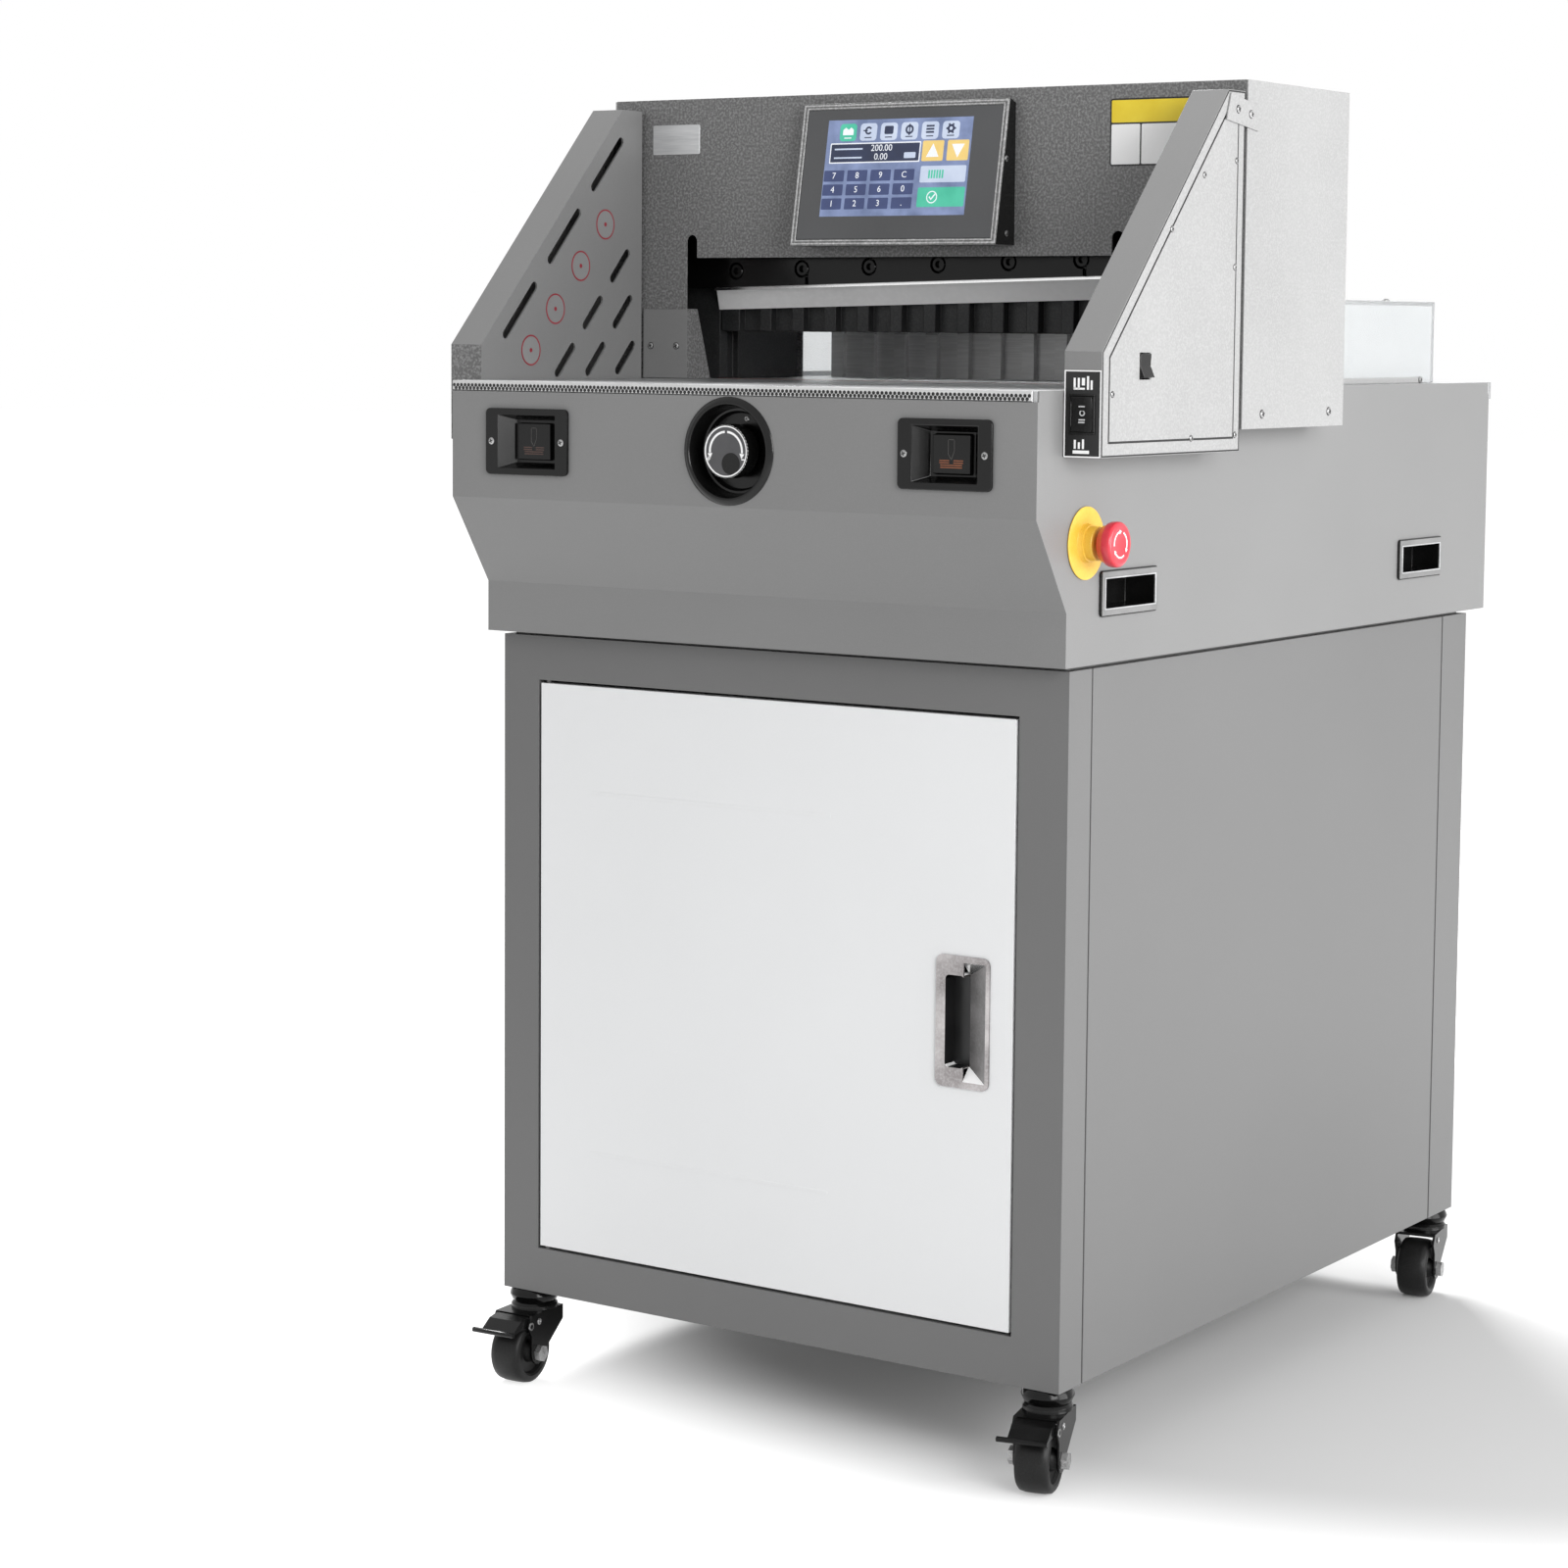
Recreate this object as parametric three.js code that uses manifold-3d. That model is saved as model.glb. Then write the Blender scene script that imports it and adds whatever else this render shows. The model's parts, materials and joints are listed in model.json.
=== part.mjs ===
// Electric paper cutter on a wheeled cabinet: a table with a portal above it, in which a knife comes
// down across the table, a clamp holds the stack and a back gauge sets the cutting depth.
// Millimetres. +X is to the operator's right, +Y to the back, +Z up. The floor is at Z = 0.
import * as THREE from 'three';
import { mergeVertices } from 'three/addons/utils/BufferGeometryUtils.js';
import Module from 'manifold-3d';

// Whole machine
const tableHeight = 980;
const bodyWidth = 640;
const bodyDepth = 960;
const bodyHeight = 241;
const frontFaceHeight = 110;
const frontChinHeight = 48;
const frontSetback = 54;
const bridgeOverhang = 37.5;
const bridgeFront = 306;
const bridgeDepth = 212;
const bridgeHeight = 279;
const bridgeSkirt = 37.5;
const cabinetWidth = 628;
const cabinetFront = 72;
const cabinetDepth = 852;
const cabinetReveal = 4;
const casterHeight = 90;

// Clearances, sheets and cutters
const fitGap = 0.3;
const overrun = 10;
const sheet = 2;

// Cabinet and door
const leftStile = 42;
const rightStile = 50;
const topRail = 42.5;
const bottomRail = 44.5;
const panelSheet = 2.7;
const panelGroove = 2.5;
const panelLap = 30;
const frontPost = 40;
const rearPost = 60;
const topFlange = 24;
const revealInset = 8;
const surroundDepth = 21;
const doorGap = 3;
const doorSheet = 1.5;
const doorThickness = 18;
const stopStripWidth = 11;
const hingePinRadius = 2.5;
const hingePinLength = 9;
const hingeInset = 6;
const hingeSetback = 5;

// Door pull
const pullWidth = 56;
const pullHeight = 120;
const pullProud = 1.5;
const pullEdge = 23;
const pullAboveFloor = 413.5;
const pullCorner = 7;
const pullWall = 1.5;
const pullDepth = 14;
const pullSlotEdge = 10;
const pullSlotWidth = 20;
const pullSlotHeight = 84;
const pullSlotCorner = 4;
const pullDishHeight = 108;
const pullDishDepth = 9;
const pullDishRim = 4;
const pullDishLap = 1;

// Casters
const casterFromSide = 22.5;
const casterFromFace = 20;
const casterTrail = 25;
const wheelRadius = 31;
const wheelWidth = 32;
const wheelShoulder = 4;
const wheelRim = 7;
const wheelDish = 6;
const hubRadius = 9;
const axleRadius = 4;
const boltRadius = 7.5;
const boltThickness = 5;
const forkInside = 38;
const forkSheet = 2.5;
const forkPlateTop = 70;
const forkPlateThickness = 3;
const forkPlateFront = 36;
const forkPlateBack = 18;
const forkEyeRadius = 11;
const raceHeight = 6.5;
const lowerRaceRadius = 23;
const upperRaceRadius = 24.5;
const kingpinRadius = 5;
const kingpinLength = 7;
const stemRadius = 6;
const stemLength = 20;

// Brake pedals of the two front casters
const pedalPivotForward = 38;
const pedalPivotHeight = 60;
const pedalPinRadius = 2;
const pedalPinProud = 1.2;
const pedalWidth = 37;
const pedalSheet = 2;
const pedalReach = 64;
const pedalBarRadius = 2.5;
const pedalBarHeight = 56.5;
const pedalBarOverhang = 10;
const pedalShoeWidth = 20;

// Body casing, table and cutting stick
const bodyRearLip = 5;
const tableThickness = 20;
const tableFlange = 20;
const tableLipHeight = 17.8;
const tableRearTongue = 12;
const stripHeight = 9.5;
const stripThickness = 2;
const stripRightEnd = 6;
const stickSide = 10;
const stickOvershoot = 2;

// Hand grips in the body's sides
const gripWidth = 104;
const gripHeight = 41;
const gripProud = 2;
const gripWall = 1.5;
const gripMouthWidth = 92;
const gripMouthHeight = 27;
const gripDepth = 30;
const gripCorner = 4;
const gripBelowTable = 179;
const frontGripFromFront = 163;
const rearGripFromBack = 176;

// Back-gauge knob and its dished bezel
const knobBelowTable = 59.3;
const bezelRadius = 49;
const bezelProud = 3;
const bezelLip = 5;
const bezelCupRadius = 42;
const bezelFloorRadius = 34;
const bezelDepth = 20;
const bezelWall = 2;
const knobRadius = 24.5;
const knobProud = 5;
const knobDepth = 17;
const knobChamfer = 2;
const knobShaftRadius = 6;
const knobShaftEnd = 60;

// Two-hand cut buttons
const buttonFromSide = 91;
const buttonBelowTable = 56.3;
const buttonPlateWidth = 96;
const buttonPlateHeight = 62;
const buttonPlateProud = 3;
const buttonPlateCorner = 5;
const buttonBoxWidth = 76;
const buttonBoxHeight = 58;
const buttonBoxDepth = 28;
const buttonMouthWidth = 68;
const buttonMouthHeight = 50;
const buttonFloorWidth = 46;
const buttonFloorHeight = 40;
const buttonFloorDepth = 13;
const buttonFloorSheet = 2;
const buttonWidth = 38;
const buttonHeight = 34;
const buttonProud = 4;
const buttonFlange = 3;
const buttonTravel = 4;

// Stop button on the right side
const stopFromFront = 85;
const stopBelowTable = 133;
const stopDiscRadius = 32;
const stopDiscThickness = 1.5;
const stopCollarRadius = 15;
const stopCollarLength = 14;
const stopBarrelRadius = 10;
const stopBarrelLength = 28;
const stopStemRadius = 6;
const stopTravel = 5;
const stopHeadRadius = 20;
const stopHeadLength = 16;
const stopHeadRound = 4;

// Portal frame in the bridge
const mouthFromLeft = 52;
const mouthFromRight = 88;
const mouthHeight = 121;
const mouthEarWidth = 13;
const mouthEarHeight = 144;
const rearMouthHeight = 100;
const guardPastMouth = 4;
const guardHeight = 70;
const guardSheet = 2;
const guardTopReturn = 14;
const guardFootReturn = 37;
const frameFront = 367;
const frameBack = 508;
const frameHeight = 262;
const leftUprightWidth = 50;
const rightUprightWidth = 28;
const beamFront = 428;
const beamBack = 500;
const beamBottom = 200;
const beamWall = 6;

// Wings beside the table
const wingThickness = 37;
const wingFront = 43.6;
const wingDrop = 57.3;
const wingBreakHeight = 33.5;
const wingTopFront = 268;
const wingTop = 268;
const wingBack = 301;
const wingLip = 12;
const wingCoverGroove = 1.5;
const wingCoverLap = 6;
const slotWidth = 9;
const longSlotLength = 73.5;
const longSlotPitch = 101;
const longSlotFromEdge = 20;
const longSlotFirst = 28.5;
const longSlotCount = 3;
const shortSlotLength = 44;
const shortSlotPitch = 65;
const shortSlotFromEdge = 105;
const shortSlotRowPitch = 35;
const shortSlotFirst = 57.7;
const shortSlotRowCount = 3;

// Switches on the right wing
const rockerBelowTable = 20;
const rockerWidth = 20;
const rockerHeight = 30;
const powerFromFront = 120;
const powerAboveTable = 21;
const powerWidth = 19;
const powerHeight = 21;
const switchProud = 3;
const switchDip = 2.5;
const switchDepth = 7;
const switchRootShare = 0.66;
const switchPlay = 1.2;
const powerTilt = 10;

// Touch screen on the bridge
const screenLeft = 119;
const screenRight = 114;
const screenTop = 269;
const screenBottom = 131.3;
const screenTopProud = 11;
const screenBottomProud = 35;
const screenWall = 2.5;
const screenBorder = 6;
const screenPanelThickness = 6;
const screenRootDrop = 4;

// Knife, its carrier and its drive
const knifeRear = 366;
const bladeThickness = 9;
const bladeHeight = 72;
const bevelHeight = 22;
const bladeOverlap = 30;
const bladeInset = 10;
const bladeEndCut = 12;
const carrierThickness = 11.7;
const carrierLeft = 14;
const carrierPastDrawbar = 38;
const carrierAbovePivot = 40;
const pivotPastMouth = 16;
const pivotAboveTable = 200;
const knifeDrop = 69;
const knifeShift = 21;
const knifeRise = 14.5;
const slideBlockWidth = 14;
const slideBlockLength = 34;
const slideBlockDepth = 11;
const pivotPinRadius = 5;
const boltPocketRadius = 9;
const boltPocketDepth = 7;
const boltPocketCount = 6;
const boltPocketFirst = 47.5;
const boltRowShortfall = 131;
const boltPocketAboveBevel = 16;
const notchWidth = 4;
const notchHeight = 13;
const firstNotch = 133;
const secondNotch = 450;
const drawbarFromSide = 18;
const drawbarWidth = 20;
const drawbarThickness = 10;
const drawbarGap = 2.3;
const drawbarPlay = 0.8;
const drawbarPinRadius = 6;
const drawbarTop = 228;
const drawbarFoot = 100;
const drawnutHeight = 20;
const drawnutDepth = 30;
const drawnutWidth = 26;
const spindleBehindBar = 22;
const spindleRadius = 8;
const spindleLowEnd = 222;
const spindleSeat = 8;
const gearboxWidth = 47;
const gearboxDepth = 66;
const gearboxHeight = 44;
const gearboxClearance = 2;
const knifeMotorRadius = 38;
const knifeMotorLength = 170;

// Clamp and its spindle drive
const clampDepth = 37;
const clampGap = 1;
const clampBottom = 48;
const clampHeight = 92;
const clampPlay = 0.5;
const tongueFront = 380;
const tongueWidth = 19.4;
const tongueLength = 8;
const ribPitch = 39;
const ribWidth = 14;
const ribDepth = 10;
const clampSpindleRadius = 9;
const clampSpindleTop = 255;
const clampBoxWidth = 60;
const clampBoxHeight = 60;
const clampBoxBottom = 185;
const clampMotorRadius = 24;
const clampMotorLength = 108;

// Back gauge and its lead screw
const gaugeFace = 560;
const gaugeShortfall = 16;
const gaugeThickness = 22;
const gaugeHeight = 58;
const gaugeRibDepth = 7;
const gaugeFootWidth = 11;
const gaugeFootLength = 20;
const gaugeSlotPlay = 1;
const gaugeNutSide = 30;
const gaugeScrewBelow = 50;
const gaugeScrewRadius = 6;
const gaugeScrewSeat = 12;
const gaugeFront = 408;
const gaugeFromBack = 135;
const bearingLug = 14;
const bearingLugWidth = 32;
const gaugeMotorSide = 56;
const gaugeMotorLength = 52;

// Clear cover behind the bridge and mains inlet
const rearCoverFromSide = 20;
const rearCoverFromBack = 105;
const rearCoverHeight = 84;
const rearCoverWall = 4;
const inletFromSide = 80;
const inletBelowTable = 170;
const inletPlateWidth = 50;
const inletPlateHeight = 28;
const inletPlateProud = 2.5;
const inletBoxWidth = 30;
const inletBoxHeight = 22;
const inletBoxDepth = 24;
const inletWall = 2;
const inletPinWidth = 4;
const inletPinThickness = 2;
const inletPinLength = 12;
const inletPinPitch = 7;

// Angles in degrees and smoothness of round shapes
const frontRightHeading = 14;
const frontLeftHeading = 4;
const rearRightHeading = 10;
const rearLeftHeading = -8;
const wheelSides = 30;
const roundSides = 24;
const pinSides = 14;
const cornerSteps = 3;

// Places that several pieces share
const bodySide = bodyWidth / 2;
const bodyBottom = tableHeight - bodyHeight;
const bodyRear = bodyDepth - bodyRearLip;
const tableBottom = tableHeight - tableThickness;
const bridgeBack = bridgeFront + bridgeDepth;
const bridgeSide = bodySide + bridgeOverhang;
const bridgeTop = tableHeight + bridgeHeight;
const bridgeSkirtEdge = tableHeight - bridgeSkirt;
const cabinetSide = cabinetWidth / 2;
const cabinetBack = cabinetFront + cabinetDepth;
const cabinetTop = bodyBottom - cabinetReveal;
const doorLeft = leftStile - cabinetSide;
const doorRight = cabinetSide - rightStile;
const doorFoot = casterHeight + bottomRail;
const doorHead = cabinetTop - topRail;
const knobHeight = tableHeight - knobBelowTable;
const buttonHeightAboveFloor = tableHeight - buttonBelowTable;
const stopHeight = tableHeight - stopBelowTable;
const rearGripFromFront = bodyDepth - rearGripFromBack;
const buttonFromCentre = bodySide - buttonFromSide;
const mouthLeft = bodySide - mouthFromLeft;
const mouthRight = bodySide - mouthFromRight;
const mouthWidth = mouthLeft + mouthRight;
const guardRight = mouthLeft - guardPastMouth;
const rearCoverHalfWidth = bodySide - rearCoverFromSide;
const rearCoverBack = bodyDepth - rearCoverFromBack;
const inletFromCentre = bodySide - inletFromSide;
const gripHeightAboveFloor = tableHeight - gripBelowTable;
const inletHeight = tableHeight - inletBelowTable;
const rockerAboveFloor = tableHeight - rockerBelowTable;
const powerAboveFloor = tableHeight + powerAboveTable;
const carrierFront = knifeRear - bladeThickness - fitGap - carrierThickness;
const pivotHeight = tableHeight + pivotAboveTable;
const pivotFromCentre = mouthLeft + pivotPastMouth;
const drawbarFromCentre = bodySide - drawbarFromSide;
const drawbarReach = drawbarFromCentre + pivotFromCentre;
const carrierRight = drawbarReach + carrierPastDrawbar;
const bladeLength = mouthWidth + bladeOverlap;
const boltPocketPitch = (bladeLength - boltRowShortfall) / (boltPocketCount - 1);
const knifeTilt = Math.asin(knifeRise / drawbarReach);
const knifeStroke = Math.hypot(knifeShift, knifeDrop);
const edgeBelowPivot = pivotAboveTable - knifeDrop - fitGap;
const drawbarFront = frameFront + drawbarGap;
const drawbarBack = drawbarFront + drawbarThickness;
const drawbarPinHeight = pivotHeight + drawbarReach * Math.tan(knifeTilt);
const spindleFromFront = drawbarFront + drawbarThickness / 2 + spindleBehindBar;
const mouthCentre = (mouthRight - mouthLeft) / 2;
const clampFront = knifeRear + clampGap;
const clampMiddle = clampFront + clampDepth / 2;
const gaugeWidth = mouthWidth - gaugeShortfall;
const gaugeRearmost = bodyDepth - gaugeFromBack;
const gaugeScrewHeight = tableHeight - gaugeScrewBelow;
const gaugeFootMiddle = gaugeThickness / 2;
const frontLugBack = gaugeFront + gaugeFootMiddle - gaugeNutSide / 2 - gaugeSlotPlay;
const rearLugFront = gaugeRearmost + gaugeFootMiddle + gaugeNutSide / 2 + gaugeSlotPlay;
const rearLugBack = rearLugFront + bearingLug;

const wasm = await Module();
wasm.setup();

const axisBases = {
  x: [new THREE.Vector3(0, 1, 0), new THREE.Vector3(0, 0, 1), new THREE.Vector3(1, 0, 0)],
  y: [new THREE.Vector3(1, 0, 0), new THREE.Vector3(0, 0, 1), new THREE.Vector3(0, -1, 0)],
  z: [new THREE.Vector3(1, 0, 0), new THREE.Vector3(0, 1, 0), new THREE.Vector3(0, 0, 1)],
};

// A closed geometry as a solid that can be joined and cut.
function toSolid(geometry) {
  geometry.deleteAttribute('normal');
  geometry.deleteAttribute('uv');
  const merged = mergeVertices(geometry);
  const index = merged.index.array;
  const triangles = [];
  for (let i = 0; i < index.length; i += 3) {
    const [a, b, c] = index.slice(i, i + 3);
    if (a !== b && b !== c && c !== a) triangles.push(a, b, c);
  }
  const vertProperties = new Float32Array(merged.attributes.position.array);
  const triVerts = new Uint32Array(triangles);
  return new wasm.Manifold(new wasm.Mesh({ numProp: 3, vertProperties, triVerts }));
}

const join = (...solids) => solids.reduce((whole, solid) => whole.add(solid));
const cut = (solid, ...cutters) => cutters.reduce((left, cutter) => left.subtract(cutter), solid);

// The two ends of a length that is centred on a place.
const around = (middle, length) => [middle - length / 2, middle + length / 2];

// The two ends of a stretch on the right, or its mirror image on the left.
const onSide = (side, from, to) => (side > 0 ? [from, to] : [-to, -from]);

function box([x0, x1], [y0, y1], [z0, z1]) {
  const geometry = new THREE.BoxGeometry(x1 - x0, y1 - y0, z1 - z0);
  geometry.translate((x0 + x1) / 2, (y0 + y1) / 2, (z0 + z1) / 2);
  return toSolid(geometry);
}

// An outline pulled along an axis. Its points are (y, z) along x, (x, z) along y and (x, y) along z.
function prism(axis, outline, [from, to]) {
  const isShape = outline instanceof THREE.Shape;
  const shape = isShape ? outline : new THREE.Shape(outline.map(([u, v]) => new THREE.Vector2(u, v)));
  const options = { depth: to - from, bevelEnabled: false, curveSegments: cornerSteps };
  const geometry = new THREE.ExtrudeGeometry(shape, options);
  geometry.translate(0, 0, axis === 'y' ? -to : from);
  geometry.applyMatrix4(new THREE.Matrix4().makeBasis(...axisBases[axis]));
  return toSolid(geometry);
}

// Turns a geometry built round the Y axis so that it stands round another axis, at a centre.
function standOn(axis, geometry, centre) {
  if (axis === 'z') geometry.rotateX(Math.PI / 2);
  if (axis === 'x') geometry.rotateZ(-Math.PI / 2);
  geometry.translate(...centre);
  return toSolid(geometry);
}

function rod(axis, radius, [from, to], centre, sides = roundSides) {
  const geometry = new THREE.CylinderGeometry(radius, radius, to - from, sides);
  geometry.translate(0, (from + to) / 2, 0);
  return standOn(axis, geometry, centre);
}

// A profile of (radius, height) points turned round an axis; a profile off the axis makes a ring.
function lathe(axis, profile, centre, sides = roundSides) {
  const points = profile.map(([radius, height]) => new THREE.Vector2(radius, height));
  if (THREE.ShapeUtils.isClockWise(points)) points.reverse();
  if (points[0].x > 0 || points.at(-1).x > 0) points.push(points[0].clone());
  return standOn(axis, new THREE.LatheGeometry(points, sides), centre);
}

function roundedRectangle([u0, u1], [v0, v1], radius) {
  const shape = new THREE.Shape();
  shape.absarc(u1 - radius, v0 + radius, radius, -Math.PI / 2, 0);
  shape.absarc(u1 - radius, v1 - radius, radius, 0, Math.PI / 2);
  shape.absarc(u0 + radius, v1 - radius, radius, Math.PI / 2, Math.PI);
  shape.absarc(u0 + radius, v0 + radius, radius, Math.PI, 1.5 * Math.PI);
  shape.closePath();
  return shape;
}

// A slot with round ends, from one end's centre in a direction.
function slotOutline([u, v], direction, length, width) {
  const radius = width / 2;
  const reach = length - width;
  const angle = Math.atan2(direction[1], direction[0]);
  const shape = new THREE.Shape();
  const [farU, farV] = [u + direction[0] * reach, v + direction[1] * reach];
  shape.absarc(farU, farV, radius, angle - Math.PI / 2, angle + Math.PI / 2);
  shape.absarc(u, v, radius, angle + Math.PI / 2, angle + 1.5 * Math.PI);
  shape.closePath();
  return shape;
}

// An outline with every side moved inwards by the same distance.
function inset(points, distance) {
  const corners = points.map(([u, v]) => new THREE.Vector2(u, v));
  const turn = THREE.ShapeUtils.isClockWise(corners) ? -1 : 1;
  return corners.map((corner, i) => {
    const before = corner.clone().sub(corners.at(i - 1)).normalize();
    const after = corners[(i + 1) % corners.length].clone().sub(corner).normalize();
    const [first, second] = [before, after].map((side) => new THREE.Vector2(-side.y, side.x));
    const sum = first.clone().add(second);
    const moved = corner.clone().addScaledVector(sum, (turn * distance) / (1 + first.dot(second)));
    return [moved.x, moved.y];
  });
}

// A cutter that narrows along Y from one size to another, and starts an overrun before its first place.
function taperedPocket([x, z], [y0, y1], front, back) {
  const mouth = front.map((length, i) => length + ((length - back[i]) * overrun) / (y1 - y0));
  const geometry = new THREE.BoxGeometry(1, y1 - y0 + overrun, 1);
  const places = geometry.attributes.position;
  for (let i = 0; i < places.count; i += 1) {
    const [width, height] = places.getY(i) < 0 ? mouth : back;
    places.setX(i, places.getX(i) * width);
    places.setZ(i, places.getZ(i) * height);
  }
  geometry.translate(x, (y0 - overrun + y1) / 2, z);
  return toSolid(geometry);
}

// The part's own frame: the floor at Z = 0, and the middle of the whole outline at X = 0, Y = 0.
const part = new THREE.Group();
const machine = new THREE.Group();
part.add(machine);

const finishes = {
  charcoalPaint: [0x707275, 0.55, 0.15],
  hammerPaint: [0x6a6c6f, 0.6, 0.3],
  greyPaint: [0xb4b6b8, 0.5, 0.15],
  whitePaint: [0xdcdddd, 0.5, 0.1],
  blackPlastic: [0x141517, 0.35, 0],
  blackSteel: [0x1c1d1f, 0.45, 0.6],
  brightSteel: [0xc2c5c8, 0.25, 1],
  castIron: [0x4b4e52, 0.6, 0.7],
  machinedTable: [0x8c8f92, 0.35, 0.8],
  aluminium: [0xc9cbcd, 0.3, 1],
  chrome: [0xd8dadc, 0.12, 1],
  rubber: [0x1a1a1b, 0.7, 0],
  redPlastic: [0xd0303c, 0.35, 0],
  yellowPlastic: [0xe8c53a, 0.45, 0],
  redStick: [0xb23a34, 0.6, 0],
  clearPlastic: [0xf2f6f8, 0.08, 0],
  screenGlass: [0x3a4050, 0.15, 0.1],
  motorBlack: [0x26282b, 0.6, 0.4],
};

function piece(name, finish, solid, parent = machine) {
  const { numProp, vertProperties, triVerts } = solid.getMesh();
  const geometry = new THREE.BufferGeometry();
  geometry.setAttribute('position', new THREE.BufferAttribute(vertProperties, numProp));
  geometry.setIndex(new THREE.BufferAttribute(triVerts, 1));
  geometry.computeVertexNormals();
  const [color, roughness, metalness] = finishes[finish];
  const mesh = new THREE.Mesh(geometry, new THREE.MeshStandardMaterial({ color, roughness, metalness }));
  mesh.name = name;
  parent.add(mesh);
}

const casters = [
  { name: 'front_right', side: 1, front: true, heading: frontRightHeading },
  { name: 'front_left', side: -1, front: true, heading: frontLeftHeading },
  { name: 'rear_right', side: 1, front: false, heading: rearRightHeading },
  { name: 'rear_left', side: -1, front: false, heading: rearLeftHeading },
].map((caster) => ({
  ...caster,
  x: caster.side * (cabinetSide - casterFromSide),
  y: caster.front ? cabinetFront + casterFromFace : cabinetBack - casterFromFace,
}));

// Cabinet: a folded carcass with corner posts, a floor, a flanged top and the door's surround.
function cabinetFrame() {
  const panelSeat = panelSheet + fitGap;
  const innerSide = cabinetSide - panelSeat - sheet;
  const doorSpan = [doorLeft, doorRight];
  const doorRise = [doorFoot, doorHead];
  const shell = box([-cabinetSide, cabinetSide], [cabinetFront, cabinetBack], [casterHeight, cabinetTop]);
  const cavity = box([-innerSide, innerSide], [cabinetFront + sheet, cabinetBack - sheet],
    [casterHeight + sheet, cabinetTop - sheet]);
  const topOpening = box([topFlange - cabinetSide, cabinetSide - topFlange],
    [cabinetFront + topFlange, cabinetBack - topFlange],
    [cabinetTop - sheet - overrun, bodyBottom + overrun]);
  const upstand = box([revealInset - cabinetSide, cabinetSide - revealInset],
    [cabinetFront + revealInset, cabinetBack - revealInset], [cabinetTop - sheet, bodyBottom - fitGap]);
  const surround = box([doorLeft - sheet, doorRight + sheet], [cabinetFront, cabinetFront + surroundDepth],
    [doorFoot - sheet, doorHead + sheet]);
  const doorHole = box(doorSpan, [cabinetFront - overrun, cabinetFront + surroundDepth + overrun], doorRise);
  const stopBack = cabinetFront + surroundDepth;
  const stopFront = cabinetFront + doorThickness + fitGap;
  const stopStrip = box([doorRight - stopStripWidth, doorRight + sheet], [stopFront, stopBack],
    [doorFoot - sheet, doorHead + sheet]);
  const pinPlace = [doorLeft + doorGap + hingeInset, cabinetFront + hingeSetback, 0];
  const footPin = rod('z', hingePinRadius, [doorFoot - sheet, doorFoot + hingePinLength], pinPlace, pinSides);
  const headPin = rod('z', hingePinRadius, [doorHead - hingePinLength, doorHead + sheet], pinPlace, pinSides);
  const sideCuts = [1, -1].flatMap((side) => [
    box(onSide(side, cabinetSide - panelSeat, cabinetSide + overrun),
      [cabinetFront + frontPost, cabinetBack - rearPost], [casterHeight - overrun, cabinetTop + fitGap]),
    box(onSide(side, innerSide - overrun, cabinetSide + overrun),
      [cabinetFront + frontPost + panelLap, cabinetBack - rearPost - panelLap],
      [casterHeight + panelLap, cabinetTop - panelLap]),
  ]);
  const stemHoles = casters.map(({ x, y }) =>
    rod('z', stemRadius + fitGap, [casterHeight - overrun, casterHeight + overrun], [x, y, 0], pinSides));
  const walls = cut(join(cut(shell, cavity), upstand), topOpening, ...sideCuts, ...stemHoles);
  return join(cut(join(walls, surround), doorHole), stopStrip, footPin, headPin);
}
piece('cabinet_frame', 'greyPaint', cabinetFrame());

for (const [name, side] of [['cabinet_side_right', 1], ['cabinet_side_left', -1]]) {
  const panelRun = [cabinetFront + frontPost + panelGroove, cabinetBack - rearPost - panelGroove];
  const panelSpan = onSide(side, cabinetSide - panelSheet, cabinetSide);
  const panel = box(panelSpan, panelRun, [casterHeight, cabinetTop]);
  piece(name, 'greyPaint', panel);
}

const pullMiddle = doorRight - doorGap - pullEdge - pullWidth / 2;
const pullSpan = around(pullMiddle, pullWidth);
const pullSlotFrom = pullSpan[0] + pullSlotEdge;
const pullSlotTo = pullSlotFrom + pullSlotWidth;
const pullDishTo = pullSpan[1] - pullDishRim;

// Door: a folded tray that turns on two pins at its left edge.
function cabinetDoor() {
  const [left, right] = [doorLeft + doorGap, doorRight - doorGap];
  const [foot, head] = [doorFoot + doorGap, doorHead - doorGap];
  const tray = box([left, right], [cabinetFront, cabinetFront + doorThickness], [foot, head]);
  const hollow = box([left + doorSheet, right - doorSheet],
    [cabinetFront + doorSheet, cabinetFront + doorThickness + overrun], [foot + doorSheet, head - doorSheet]);
  const pinHole = rod('z', hingePinRadius + fitGap, [foot - overrun, head + overrun],
    [left + hingeInset, cabinetFront + hingeSetback, 0], pinSides);
  const pullHole = box([pullSlotFrom - pullWall - fitGap, pullDishTo + pullWall + fitGap],
    [cabinetFront - overrun, cabinetFront + doorSheet + overrun],
    around(pullAboveFloor, pullDishHeight + 2 * (pullWall + fitGap)));
  return cut(tray, hollow, pinHole, pullHole);
}
piece('cabinet_door', 'whitePaint', cabinetDoor());

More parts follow.
